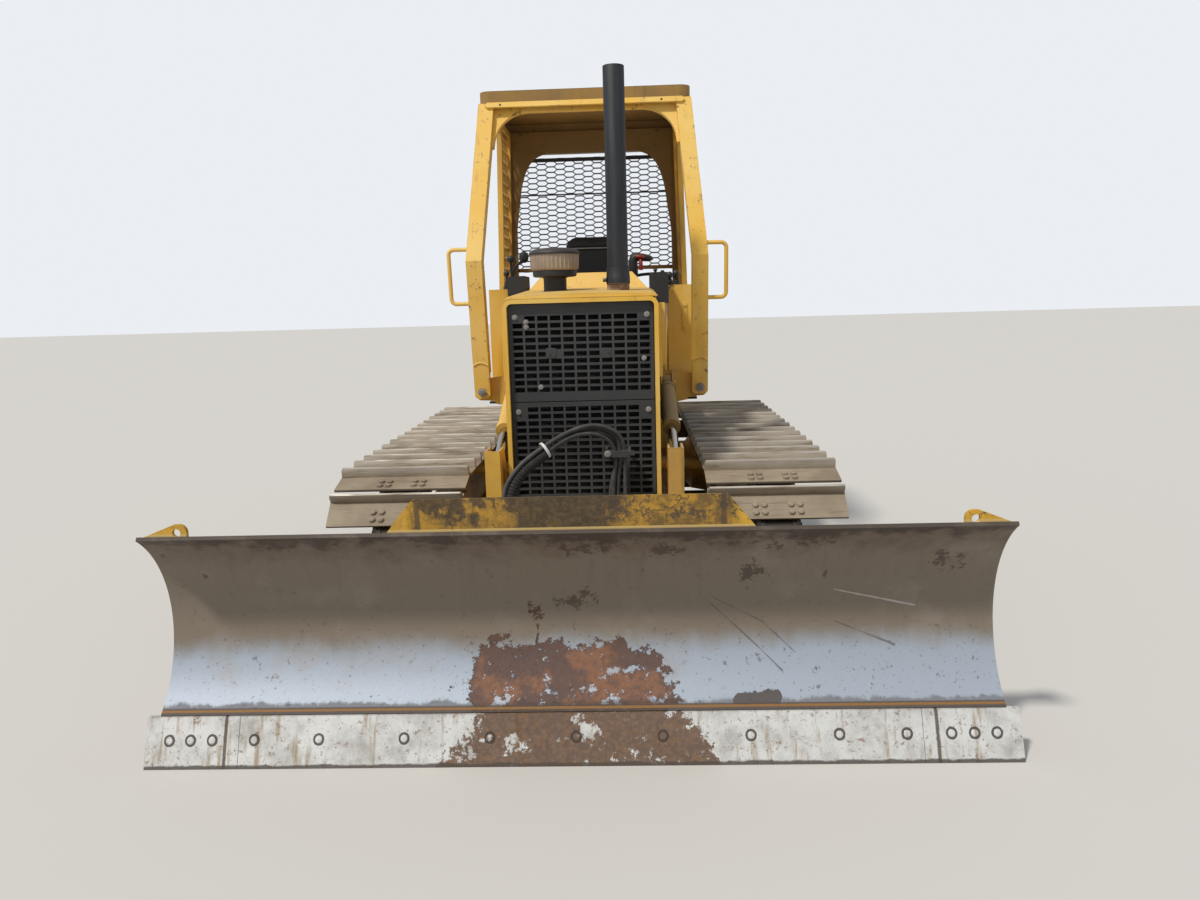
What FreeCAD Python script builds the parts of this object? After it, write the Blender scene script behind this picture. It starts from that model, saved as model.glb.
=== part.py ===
import FreeCAD, Part
import math
import os

# Crawler bulldozer with a power angle and tilt blade and an open canopy, in millimetres.
# The front of the machine looks along minus Y, Z is up, and the machine's left is plus X.
# The origin lies on the ground under the middle of the machine's length and width.

# Gap left between pieces that rest on each other
seat_gap = 0.3

# Track chain: shoes, links and the two wheels that carry it
shoe_count = 39
link_pitch = 171.5
wheel_pitch_count = 12
track_gauge = 1738.0
track_inner = 560.0
shoe_width = track_gauge - 2 * track_inner
shoe_plate = 12.0
grouser_height = 46.0
grouser_width = 15.0
link_above_pin = 47.0
link_below_pin = 45.0
rail_inset = 62.0
rail_width = 36.0
idler_y = -850.0
pin_radius = wheel_pitch_count * link_pitch / (2 * math.pi)
tip_radius = pin_radius + link_above_pin + shoe_plate + grouser_height
wheel_z = tip_radius
wheel_base = (shoe_count - wheel_pitch_count) * link_pitch / 2
sprocket_y = idler_y + wheel_base
tread_gap = 0.5
rail_radius = pin_radius - link_below_pin - tread_gap
rail_centre = rail_inset + rail_width / 2
fork_plate = 16.0
fork_offset = rail_centre + rail_width / 2 + 24

# Roller frames and final drives
sprocket_tooth_count = 2 * wheel_pitch_count
sprocket_width = 56.0
tooth_height = 30.0
roller_count = 7
roller_radius = 92.0
carrier_radius = 60.0
carrier_places = (0.3, 0.68)
frame_width = 190.0
frame_top = 520.0
drive_case_radius = 235.0
drive_cover_radius = 180.0

# Push arms, which run between the chains, and the main frame between them
arm_clear = 120.0
arm_width = 68.0
arm_out = track_inner - arm_clear
arm_in = arm_out - arm_width
frame_half = arm_in - 42
frame_wall = 60.0
frame_front = -930.0
frame_past_sprocket = 34.75
frame_rear = sprocket_y + frame_past_sprocket
frame_bottom = 480.0
frame_height = 240.0
guard_wall = 16.0
cross_bar_y = 230.0
cross_bar_z = 646.0
cross_bar_radius = 40.0
beam_front = -120.0
beam_rear = 20.0
beam_low = 1080.0
beam_top = 1245.0
beam_out = arm_out + 200
lift_base_y = -180.0
lift_base_z = 1170.0

# Radiator shell, hood, engine doors and cowl
shell_half = arm_in - 19
shell_front = -1020.0
shell_depth = 330.0
shell_bottom = 480.0
shell_top = 1640.0
shell_wall = 20.0
shell_corner = 42.0
grille_recess = 26.0
grille_plate = 5.0
grille_seam = 1172.0
grille_gap = 4.0
hole_columns = 11
side_land = 10.0
hole_bar = 10.0
hole_pitch_x = 2 * (shell_half - shell_wall - grille_gap - side_land) / hole_columns
hole_width = hole_pitch_x - hole_bar
hole_pitch_z = 32.5
hole_height = 22.0
upper_rows = 11
lower_rows = 16
engine_half = shell_half - 133
engine_front = -640.0
engine_top = 1440.0
case_front = 380.0
hood_rear = -200.0
hood_sheet = 6.0
hood_crown = 14.0
hood_rise = 34.0
door_half = shell_half + 17
door_low = 1270.0
door_top = 1605.0
cowl_depth = 260.0
cowl_base_half = shell_half - 18
cowl_top_half = cowl_base_half - 95
cowl_top = 1775.0
stack_x = 170.0
stack_y = -630.0
stack_radius = 51.0
stack_top = 2712.0
stack_wall = 4.0
stack_below = 190.0
bore_depth = 250.0
sleeve_radius = 58.0
cleaner_x = -145.0
cleaner_y = -560.0
cleaner_radius = 122.0
cleaner_neck = 54.0
cleaner_low = 1452.0
bowl_low = 1765.0
box_width = 100.0
box_low = 1600.0
box_high = 1766.0
box_front = -176.0
box_rear = 20.0

# Platform, consoles, tank and seat
floor_z = 1050.0
floor_sheet = 12.0
platform_half = arm_out + 160
platform_rear = 1010.0
console_in = arm_out
console_out = platform_half - 25
console_front = 60.0
console_rear = 500.0
console_top = 1700.0
tank_front = 1030.0
tank_rear = frame_rear - 5
tank_half = track_inner - 20
tank_top = 1420.0
pannier_low = 597.0
case_length = 380.0
case_rear = frame_rear + case_length
case_half = frame_half - 30
case_low = 300.0
seat_y = 590.0
seat_half = 245.0
seat_depth = 470.0
cushion_low = 1340.0
cushion_high = 1460.0
seat_back_top = 2062.0
seat_back_half = 195.0

# Canopy
post_size = 85.0
post_foot_x = platform_half
post_foot_y = -130.0
post_foot_z = 1142.0
knee_y = -205.0
knee_z = 1850.0
knee_out = 2.0
roof_front = 40.0
roof_rear = 1010.0
roof_half = post_foot_x - 22
roof_top = 2767.0
roof_deep = 62.0
roof_sheet = 5.0
arch_rail = 52.0
arch_bend = 190.0
arch_y = 950.0
arch_sheet = 60.0
arch_half = roof_half - 59
arch_opening_top = 2570.0
arch_corner = 165.0
screen_front = 560.0
screen_bottom = 1700.0
screen_sheet = 6.0
rear_screen_bottom = 1820.0
handle_radius = 11.0
handle_reach = 100.0
handle_low = 1625.0
handle_high = 1912.0

# Push frame that carries the blade
arm_low = 350.0
arm_high = 500.0
pivot_y = 450.0
pivot_z = 450.0
pivot_pin = 45.0
arm_front = -1150.0
nose_half = 105.0
yoke_y = -1650.0
yoke_z = 400.0
yoke_pin = 40.0
yoke_tongue = 110.0
yoke_front = -1812.0
tilt_pin_long = 58.0
nose_plate = 34.0
tower_x = arm_out - 20
tower_front = -1062.0
tower_plate = 10.0
tower_head = 8.0
tower_top = 957.0

# Cylinders: pivots and sizes
lift_eye_y = -950.0
lift_eye_z = 862.0
lift_barrel = 41.0
lift_barrel_long = 490.0
lift_rod_tail = 325.0
lift_rod = 22.0
angle_base_x = arm_out + 57
angle_base_y = -880.0
angle_eye_x = angle_base_x + 8
angle_eye_y = -1760.0
angle_barrel = 33.0
angle_barrel_long = 555.0
angle_rod_tail = 312.0
angle_rod = 20.0
tilt_base_x = -150.0
tilt_base_z = 760.0
tilt_eye_x = 430.0
tilt_eye_z = 690.0
tilt_barrel = 34.0
tilt_barrel_long = 400.0
tilt_rod_tail = 290.0
tilt_rod = 18.0
eye_width = 44.0
eye_radius = 42.0
pin_clear = 0.5
side_clear = 4.0
eye_neck = 26.0
lug_sheet = 14.0
tilt_y = yoke_front + lug_sheet + side_clear + eye_width / 2

# Blade
blade_half = 1525.0
bit_overhang = 43.0
bits_half = blade_half + bit_overhang
bit_length = 343.0
edge_tip_y = -2150.0
edge_top_y = -2082.0
edge_top_z = 168.0
edge_sheet = 20.0
board_top_y = -2105.0
board_top_z = 840.0
bowl_depth = 172.0
board_sheet = 14.0
rib_back_y = -1872.0
rib_places = (345.0, 685.0)
rail_foot = 94.0
rail_top = 330.0
tilt_pin_z = yoke_z
tilt_pin = 50.0
guard_plate_top = 966.0
guard_top_half = 546.0
guard_foot_half = 640.0
guard_sheet = 12.0
eye_plate_x = blade_half - 140
eye_plate_z = 862.0
eye_plate_hole = 15.0
lug_end = 18.0

# Hoses to the blade and the clamp in front of the grille
hose_radius = 22.0
hose_port_x = 150.0
hose_port_z = 500.0
hose_end_x = -285.0
hose_end_y = -1310.0
hose_boss = 12.0
clamp_x = 156.0
clamp_y = -1107.0
clamp_z = 940.0
clamp_half = 58.0

# Rear hitch
drawbar_reach = 270.0
drawbar_y = case_rear + drawbar_reach
drawbar_z = 430.0
drawbar_thick = 50.0
drawbar_half = 60.0
drawbar_hole = 21.0
hitch_from_end = 60.0
pad_half = 210.0
pad_bolt = 150.0
pad_bolt_radius = 11.0
pad_z = drawbar_z + drawbar_thick / 2 + 26 + pad_half
hitch_y = drawbar_y - hitch_from_end


def vec(x, y, z):
    return FreeCAD.Vector(x, y, z)


def rounded(points):
    """Closed outline as edges in the XY plane; each point is (u, v, radius of its corner)."""
    edges = []
    count = len(points)
    starts, ends, mids = [], [], []
    for i in range(count):
        before = vec(points[i - 1][0], points[i - 1][1], 0)
        here = vec(points[i][0], points[i][1], 0)
        after = vec(points[(i + 1) % count][0], points[(i + 1) % count][1], 0)
        radius = points[i][2] if len(points[i]) > 2 else 0
        if radius == 0:
            starts.append(here)
            ends.append(here)
            mids.append(None)
            continue
        a = (before - here).normalize()
        b = (after - here).normalize()
        half = a.getAngle(b) / 2
        reach = radius / math.tan(half)
        middle = (a + b).normalize()
        starts.append(here + a * reach)
        ends.append(here + b * reach)
        mids.append(here + middle * (radius / math.sin(half) - radius))
    for i in range(count):
        if mids[i] is not None:
            edges.append(Part.Arc(starts[i], mids[i], ends[i]).toShape())
        nxt = (i + 1) % count
        if ends[i].distanceToPoint(starts[nxt]) > 1e-6:
            edges.append(Part.LineSegment(ends[i], starts[nxt]).toShape())
    return Part.Wire(Part.__sortEdges__(edges))


def turn_to(shape, axis):
    """Carries a shape drawn in XY with its height on Z to stand along X, Y or Z."""
    if axis == "x":
        matrix = FreeCAD.Matrix(0, 0, 1, 0, 1, 0, 0, 0, 0, 1, 0, 0, 0, 0, 0, 1)
    elif axis == "y":
        matrix = FreeCAD.Matrix(1, 0, 0, 0, 0, 0, -1, 0, 0, 1, 0, 0, 0, 0, 0, 1)
    else:
        return shape
    turned = shape.copy()
    turned.transformShape(matrix)
    return turned


def slab(points, axis, low, high, holes=()):
    """Plate of an outline: (y, z) along x, (x, z) along y or (x, y) along z, from low to high."""
    wires = [rounded(points)] + [rounded(hole) for hole in holes]
    face = Part.Face(wires[0])
    for wire in wires[1:]:
        face = face.cut(Part.Face(wire))
    body = face.extrude(vec(0, 0, high - low))
    if axis == "y":
        body.translate(vec(0, 0, -high))
    else:
        body.translate(vec(0, 0, low))
    return turn_to(body, axis)


def block(x0, x1, y0, y1, z0, z1):
    return Part.makeBox(x1 - x0, y1 - y0, z1 - z0, vec(x0, y0, z0))


def round_bar(start, end, radius):
    line = end - start
    return Part.makeCylinder(radius, line.Length, start, line)


def turned(profile, centre, direction):
    """Solid of revolution from a closed profile of (along, radius) points about a line."""
    points = [vec(r, 0, a) for a, r in profile]
    face = Part.Face(Part.makePolygon(points + [points[0]]))
    body = face.revolve(vec(0, 0, 0), vec(0, 0, 1), 360)
    body.Placement = FreeCAD.Placement(centre, FreeCAD.Rotation(vec(0, 0, 1), direction))
    return body


def fused(shapes):
    whole = shapes[0]
    if len(shapes) > 1:
        whole = shapes[0].multiFuse(shapes[1:])
    return whole.removeSplitter()


def mirrored(shape):
    return shape.mirror(vec(0, 0, 0), vec(1, 0, 0))


def both_sides(shape):
    return Part.makeCompound([shape, mirrored(shape)])


def loft(sections):
    wires = [Part.makePolygon([vec(*p) for p in section + section[:1]]) for section in sections]
    return Part.makeLoft(wires, True, True)


nodes = {}


# Track chain

def on_loop(along, out):
    """Point (y, z) at a distance along the pin line and out from it; zero is under the idler."""
    straight = wheel_base
    half_turn = math.pi * pin_radius
    along = along % (2 * straight + 2 * half_turn)
    radius = pin_radius + out
    if along <= straight:
        return (idler_y + along, wheel_z - radius)
    along -= straight
    if along <= half_turn:
        angle = along / pin_radius
        return (sprocket_y + radius * math.sin(angle), wheel_z - radius * math.cos(angle))
    along -= half_turn
    if along <= straight:
        return (sprocket_y - along, wheel_z + radius)
    angle = (along - straight) / pin_radius
    return (idler_y - radius * math.sin(angle), wheel_z + radius * math.cos(angle))


def shoe_points(index):
    """One shoe's outline: a flat plate with one grouser near its leading edge."""
    middle = (index + 0.5) * link_pitch
    centre = on_loop(middle, 0)
    ahead = on_loop(middle + 1, 0)
    tangent = (ahead[0] - centre[0], ahead[1] - centre[1])
    size = math.hypot(*tangent)
    tangent = (tangent[0] / size, tangent[1] / size)
    normal = (tangent[1], -tangent[0])
    plate = link_above_pin + shoe_plate
    tip = plate + grouser_height
    half = link_pitch / 2 - 4
    foot = grouser_width * 1.3
    table = (
        (-half, link_above_pin + 2), (-half, plate), (-half + 14, plate), (-half + 18, tip),
        (-half + 18 + grouser_width, tip), (-half + 18 + foot, plate), (half, plate),
        (half, link_above_pin + 2),
    )
    points = []
    for u, v in table:
        y = centre[0] + tangent[0] * u + normal[0] * v
        z = centre[1] + tangent[1] * u + normal[1] * v
        points.append((y, z))
    return points


def oval(out):
    """Closed oval outline at a distance out from the pin line, as two straights and two arcs."""
    radius = pin_radius + out
    a = vec(idler_y, wheel_z - radius, 0)
    b = vec(sprocket_y, wheel_z - radius, 0)
    c = vec(sprocket_y, wheel_z + radius, 0)
    d = vec(idler_y, wheel_z + radius, 0)
    rear = Part.Arc(b, vec(sprocket_y + radius, wheel_z, 0), c).toShape()
    front = Part.Arc(d, vec(idler_y - radius, wheel_z, 0), a).toShape()
    edges = [Part.LineSegment(a, b).toShape(), rear, Part.LineSegment(c, d).toShape(), front]
    return Part.Wire(edges)


def band(out_high, out_low, x0, x1):
    """Ring between two ovals, standing from x0 to x1."""
    ring = Part.Face(oval(out_high)).cut(Part.Face(oval(out_low)))
    body = ring.extrude(vec(0, 0, x1 - x0))
    body.translate(vec(0, 0, x0))
    return turn_to(body, "x")


def track_loop():
    """Left-hand chain: one outline of all shoes across the width, with two link rails inside."""
    outer = []
    for index in range(shoe_count):
        outer.extend(shoe_points(index))
    corners = [vec(y, z, 0) for y, z in outer]
    face = Part.Face(Part.makePolygon(corners + corners[:1]))
    face = face.cut(Part.Face(oval(link_above_pin - 8)))
    left = track_gauge / 2 - shoe_width / 2
    plates = face.extrude(vec(0, 0, shoe_width))
    plates.translate(vec(0, 0, left))
    parts = [turn_to(plates, "x")]
    for side in (-1, 1):
        middle = track_gauge / 2 + side * rail_centre
        low, high = middle - rail_width / 2, middle + rail_width / 2
        parts.append(band(link_above_pin - 4, -link_below_pin, low, high))
    return fused(parts)


track = track_loop()
nodes["track_left"] = track
nodes["track_right"] = mirrored(track)


# Idlers, sprockets and rollers

def idler():
    half = rail_centre + rail_width / 2
    guide = rail_inset - 6
    rim = rail_radius + 30
    profile = (
        (-half, 70), (-half, rail_radius - 30), (-half + 6, rail_radius), (-guide, rail_radius),
        (-guide, rim), (guide, rim), (guide, rail_radius), (half - 6, rail_radius),
        (half, rail_radius - 30), (half, 70), (60, 120), (-60, 120),
    )
    wheel = turned(profile, vec(track_gauge / 2, idler_y, wheel_z), vec(1, 0, 0))
    reach = fork_offset - fork_plate / 2 - seat_gap
    hub = round_bar(vec(track_gauge / 2 - reach, idler_y, wheel_z),
                    vec(track_gauge / 2 + reach, idler_y, wheel_z), 69.5)
    return fused([wheel, hub])


nodes["idlers"] = both_sides(idler())


def sprocket():
    """Toothed ring whose gaps lie on the pin line, half a pitch from the straight's end."""
    step = 2 * math.pi / sprocket_tooth_count
    points = []
    for tooth in range(sprocket_tooth_count):
        middle = tooth * step
        table = ((-0.34, -tooth_height), (-0.14, 16), (0.14, 16), (0.34, -tooth_height))
        for turn, out in table:
            angle = middle + turn * step
            radius = pin_radius + out
            points.append((sprocket_y + radius * math.sin(angle),
                           wheel_z - radius * math.cos(angle)))
    middle = track_gauge / 2
    ring = slab(points, "x", middle - sprocket_width / 2, middle + sprocket_width / 2)
    bore = round_bar(vec(middle - sprocket_width, sprocket_y, wheel_z),
                     vec(middle + sprocket_width, sprocket_y, wheel_z), drive_cover_radius)
    return ring.cut(bore)


nodes["sprockets"] = both_sides(sprocket())


def final_drive():
    """Case that carries the sprocket: a round cover outside and a stepped case inside."""
    centre = track_gauge / 2
    half = sprocket_width / 2
    inboard = frame_half - centre
    profile = (
        (inboard, 0), (inboard, 150), (-260, 150), (-220, 200), (-half - 8, drive_case_radius),
        (-half, drive_case_radius), (-half, drive_cover_radius - 1),
        (half, drive_cover_radius - 1), (half, drive_cover_radius + 28),
        (half + 12, drive_cover_radius + 28), (half + 12, 150), (half + 90, 132),
        (half + 110, 70), (half + 110, 0),
    )
    return turned(profile, vec(centre, sprocket_y, wheel_z), vec(1, 0, 0))


nodes["final_drives"] = both_sides(final_drive())


def roller(radius, y, z, flange):
    half = rail_centre + rail_width / 2
    guide = rail_inset - 6
    profile = (
        (-half, 0), (-half, radius), (-guide, radius), (-guide, radius + flange),
        (guide, radius + flange), (guide, radius), (half, radius), (half, 0),
    )
    return turned(profile, vec(track_gauge / 2, y, z), vec(1, 0, 0))


lower_rail = wheel_z - pin_radius + link_below_pin
upper_rail = wheel_z + pin_radius - link_below_pin
roller_z = lower_rail + roller_radius + tread_gap
roller_first = idler_y + rail_radius + 150
roller_last = sprocket_y - pin_radius - 130
lower = []
for number in range(roller_count):
    y = roller_first + (roller_last - roller_first) * number / (roller_count - 1)
    lower.append(roller(roller_radius, y, roller_z, 12))
nodes["lower_rollers"] = both_sides(Part.makeCompound(lower))

carrier_z = upper_rail - carrier_radius - tread_gap
carrier_y = [idler_y + wheel_base * share for share in carrier_places]


def carrier(y):
    """Short roller on a pin that reaches in to its bracket."""
    half = rail_centre + rail_width / 2
    profile = ((-half, 0), (-half, carrier_radius), (half, carrier_radius), (half + 12, 34),
               (half + 12, 0))
    return turned(profile, vec(track_gauge / 2, y, carrier_z), vec(1, 0, 0))


nodes["carrier_rollers"] = both_sides(Part.makeCompound([carrier(y) for y in carrier_y]))


def roller_frame():
    """Box beam inside the chain, with an idler fork, roller guards and carrier brackets."""
    centre = track_gauge / 2
    low, high = centre - frame_width / 2, centre + frame_width / 2
    top_front = idler_y + rail_radius + 60
    rear = sprocket_y - pin_radius - 30
    side = [
        (top_front, roller_z + 115), (rear, roller_z + 115), (rear, frame_top - 40),
        (rear - 160, frame_top), (top_front + 260, frame_top), (top_front, frame_top - 60),
    ]
    beam = slab(side, "x", low, high)
    fork = []
    guards = []
    for edge in (-1, 1):
        x = centre + edge * fork_offset
        prong = [(idler_y - 40, wheel_z - 48), (top_front + 60, wheel_z - 72),
                 (top_front + 60, wheel_z + 72), (idler_y - 40, wheel_z + 48)]
        fork.append(slab(prong, "x", x - fork_plate / 2, x + fork_plate / 2))
        skirt = [(roller_first - 120, roller_z - 30), (roller_last + 120, roller_z - 30),
                 (roller_last + 120, roller_z + 130), (roller_first - 120, roller_z + 130)]
        guards.append(slab(skirt, "x", x - 6, x + 6))
        head = block(min(x, centre + edge * 60), max(x, centre + edge * 60),
                     top_front, top_front + 50, wheel_z - 70, wheel_z + 70)
        fork.append(head)
        guards.append(block(min(x, centre + edge * 60), max(x, centre + edge * 60),
                            roller_first - 120, roller_last + 120, roller_z + 118, roller_z + 130))
    stands = []
    for y in carrier_y:
        x = centre + rail_centre + rail_width / 2 + 13
        foot = [(y - 70, frame_top - 70), (y + 70, frame_top - 70), (y + 34, carrier_z + 30),
                (y - 34, carrier_z + 30)]
        stands.append(slab(foot, "x", x, x + 14))
        stands.append(block(centre + 60, x + 14, y - 70, y + 70, frame_top - 70, frame_top - 50))
    cross = round_bar(vec(centre - frame_width / 2 - 18, cross_bar_y, cross_bar_z),
                      vec(centre, cross_bar_y, cross_bar_z), cross_bar_radius + 22)
    return fused([beam, cross] + fork + guards + stands)


def roller_frame_set():
    frame = roller_frame()
    bracket_x = track_gauge / 2 - frame_width / 2
    saddle = [(cross_bar_y - 90, frame_top - 40), (cross_bar_y + 90, frame_top - 40),
              (cross_bar_y + 60, cross_bar_z), (cross_bar_y - 60, cross_bar_z)]
    plate = slab(saddle, "x", bracket_x, bracket_x + 90)
    return fused([frame, plate])


nodes["track_frames"] = both_sides(roller_frame_set())


# Main frame with the shafts that the roller frames and the push arms hang on

def main_frame():
    parts = []
    top = frame_bottom + frame_height
    for side in (-1, 1):
        low = side * frame_half
        high = side * (frame_half - frame_wall)
        parts.append(block(min(low, high), max(low, high), frame_front, frame_rear,
                           frame_bottom, top))
        stand = [(lift_base_y - 90, top), (beam_rear + 30, top), (beam_rear + 30, beam_top),
                 (beam_front, beam_top), (beam_front, beam_low)]
        parts.append(slab(stand, "x", min(low, high), max(low, high)))
    for y0, y1 in ((frame_front, frame_front + 120), (pivot_y - 110, pivot_y + 110),
                   (frame_rear - 150, frame_rear)):
        parts.append(block(-frame_half, frame_half, y0, y1, frame_bottom, top))
    parts.append(block(-frame_half, frame_half, pivot_y - 110, pivot_y + 110,
                       pivot_z - 90, frame_bottom))
    for side in (-1, 1):
        boss = round_bar(vec(side * (frame_half - 20), pivot_y, pivot_z),
                         vec(side * (arm_out + 30), pivot_y, pivot_z), pivot_pin)
        head = round_bar(vec(side * (arm_out + side_clear), pivot_y, pivot_z),
                         vec(side * (arm_out + 30), pivot_y, pivot_z), pivot_pin + 26)
        collar = round_bar(vec(side * (frame_half - 20), pivot_y, pivot_z),
                           vec(side * (arm_in - side_clear), pivot_y, pivot_z), pivot_pin + 40)
        bar = round_bar(vec(side * (frame_half - 20), cross_bar_y, cross_bar_z),
                        vec(side * (track_gauge / 2 - frame_width / 2 - 18.5), cross_bar_y,
                            cross_bar_z), cross_bar_radius)
        parts.extend([boss, head, collar, bar])
    return fused(parts)


def canopy_beam(side):
    """Half of the beam, with its stepped face plate and the two ears of the lift cylinder."""
    x0, x1 = side * frame_half, side * (beam_out - 30)
    beam = block(min(x0, x1), max(x0, x1), beam_front, beam_rear, beam_low + 15, beam_top - 40)
    root = side * (frame_half - frame_wall)
    step = side * (post_foot_x - 64)
    shade = slab([(root, beam_top), (root, beam_low), (side * (arm_out + 20), beam_low - 24),
                  (step, beam_low - 9), (step, beam_low + 8), (side * beam_out, beam_low + 12, 28),
                  (side * beam_out, beam_top - 40, 12), (side * frame_half, beam_top)],
                 "y", beam_front - 10, beam_front)
    ears = []
    for edge in (-1, 1):
        x = side * tower_x + edge * (eye_width / 2 + side_clear + tower_plate / 2)
        outline = [(lift_base_y - 42, lift_base_z - 30, 30), (beam_front, beam_low),
                   (beam_front, beam_top - 10), (lift_base_y - 42, lift_base_z + 42, 30)]
        ears.append(slab(outline, "x", x - tower_plate / 2, x + tower_plate / 2))
    pin = round_bar(vec(side * tower_x - 48, lift_base_y, lift_base_z),
                    vec(side * tower_x + 48, lift_base_y, lift_base_z), 18)
    return fused([beam, shade, pin] + ears)


nodes["main_frame"] = fused([main_frame(), canopy_beam(1), canopy_beam(-1)])

tray = [(frame_front - 20, frame_bottom + 40), (frame_front + 90, frame_bottom - guard_wall - 60),
        (pivot_y - 130, frame_bottom - guard_wall - 60), (pivot_y - 130, frame_bottom - 62),
        (frame_front + 98, frame_bottom - 62), (frame_front - 4, frame_bottom + 40)]
sides = [(frame_front + 30, frame_bottom - 0.3), (frame_front + 98, frame_bottom - 62),
         (pivot_y - 130, frame_bottom - 62), (pivot_y - 130, frame_bottom - 0.3)]
nodes["belly_guard"] = fused([
    slab(tray, "x", -frame_half, frame_half).cut(
        block(-frame_half, frame_half, frame_front, pivot_y, frame_bottom - 0.3, 1000)),
    slab(sides, "x", -frame_half, -frame_half + guard_wall),
    slab(sides, "x", frame_half - guard_wall, frame_half),
])


# Radiator shell and grille

def radiator_guard():
    """Square tunnel with rounded upper corners, an inner lip that backs the grille, and feet."""
    depth_rear = shell_front + shell_depth
    outer = [(-shell_half, shell_bottom), (shell_half, shell_bottom),
             (shell_half, shell_top, shell_corner), (-shell_half, shell_top, shell_corner)]
    low = shell_bottom + shell_wall
    inner_half = shell_half - shell_wall
    inner_top = shell_top - shell_wall
    inner = [(-inner_half, low), (inner_half, low),
             (inner_half, inner_top, shell_corner - shell_wall),
             (-inner_half, inner_top, shell_corner - shell_wall)]
    tunnel = slab(outer, "y", shell_front, depth_rear, [inner])
    lip_y = shell_front + grille_recess + grille_plate + seat_gap
    lip = 24.0
    hole = [(-inner_half + lip, low + lip), (inner_half - lip, low + lip),
            (inner_half - lip, inner_top - lip), (-inner_half + lip, inner_top - lip)]
    backing = slab(outer, "y", lip_y, lip_y + 10, [hole])
    return fused([tunnel, backing])


shell = radiator_guard()
seat_for_frame = block(-frame_half - 0.3, frame_half + 0.3, frame_front - 0.3, frame_rear,
                       frame_bottom - 1, frame_bottom + frame_height + 0.3)
seat_for_guard = block(-frame_half - 0.3, frame_half + 0.3, frame_front - 21, frame_rear,
                       0, frame_bottom + 41)
hose_shelf = block(hose_port_x - 50, hose_port_x + 50, shell_front - 85, shell_front + 1,
                   shell_bottom, shell_bottom + shell_wall)
nodes["radiator_guard"] = fused([shell.cut(seat_for_frame).cut(seat_for_guard), hose_shelf])


def grille(low, high, rows, corner_rows, first_row, narrow_top):
    """Punched plate: rows of slots counted down from the top, the first ones two slots shorter."""
    half = shell_half - shell_wall - grille_gap
    front = shell_front + grille_recess
    top_radius = shell_corner - shell_wall if narrow_top else 0
    plate = slab([(-half, low), (half, low), (half, high, top_radius), (-half, high, top_radius)],
                 "y", front, front + grille_plate)
    holes = []
    for row in range(rows):
        z = high - first_row - row * hole_pitch_z
        count = hole_columns - 2 if row < corner_rows else hole_columns
        for column in range(count):
            x = (column - (count - 1) / 2) * hole_pitch_x
            if row == 5 and narrow_top and column in (3, 7):
                continue
            holes.append(block(x - hole_width / 2, x + hole_width / 2, front - 1,
                               front + grille_plate + 1, z - hole_height, z))
    return plate.cut(Part.makeCompound(holes))


grille_high = shell_top - shell_wall - grille_gap
nodes["grille_upper"] = grille(grille_seam + grille_gap / 2, grille_high, upper_rows, 1, 52,
                               True)
nodes["grille_lower"] = grille(frame_bottom + 60, grille_seam - grille_gap / 2, lower_rows, 2,
                               22, False)

core_half = shell_half - shell_wall - 8
nodes["radiator_core"] = block(-core_half, core_half, shell_front + 70, shell_front + 190,
                               frame_bottom + frame_height + seat_gap, shell_top - shell_wall - 8)


# Engine, hood, doors, cowl, stack and air cleaner

engine_low = frame_bottom + frame_height + seat_gap
nodes["engine_block"] = fused([
    block(-engine_half, engine_half, engine_front, hood_rear - 5, engine_low, engine_top),
    block(-engine_half + 20, engine_half - 20, hood_rear - 5, case_front, engine_low, floor_z - 15),
])


def hood():
    """Crowned sheet with turned-down sides, rising a little to the rear."""
    sections = []
    front_y = shell_front + 8
    for y, z in ((front_y, shell_top), (hood_rear, shell_top + hood_rise)):
        edge = z + hood_sheet
        section = [(-shell_half, y, z - 40), (-shell_half, y, edge - 8),
                   (-shell_half + 26, y, edge + 6), (-120, y, edge + hood_crown),
                   (120, y, edge + hood_crown), (shell_half - 26, y, edge + 6),
                   (shell_half, y, edge - 8), (shell_half, y, z - 40)]
        sections.append(section)
    body = loft(sections)
    under = []
    for y, z in ((front_y - 1, shell_top + 0.3), (hood_rear + 1, shell_top + hood_rise)):
        inner = shell_half - hood_sheet
        under.append([(-inner, y, z - 60), (-inner, y, z - 6), (-inner + 24, y, z + 1),
                      (inner - 24, y, z + 1), (inner, y, z - 6), (inner, y, z - 60)])
    body = body.cut(loft(under))
    body = body.cut(block(-shell_half - 1, shell_half + 1, shell_front - 10,
                          shell_front + shell_depth + 0.3, 1000, shell_top + 0.3))
    low, high = shell_top - 40, shell_top + 160
    stack = round_bar(vec(stack_x, stack_y, low), vec(stack_x, stack_y, high),
                      stack_radius + seat_gap)
    neck = round_bar(vec(cleaner_x, cleaner_y, low), vec(cleaner_x, cleaner_y, high),
                     cleaner_neck + seat_gap)
    return body.cut(stack).cut(neck)


nodes["hood"] = hood()


def engine_sides():
    """Side doors that stand a little proud of the shell."""
    parts = []
    for side in (-1, 1):
        y0, y1 = shell_front + 90, hood_rear
        outer_x, inner_x = side * door_half, side * (shell_half + 0.3)
        parts.append(block(min(outer_x, inner_x), max(outer_x, inner_x), y0, y1, door_low,
                           door_top))
    return Part.makeCompound(parts)


nodes["engine_sides"] = engine_sides()


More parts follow.
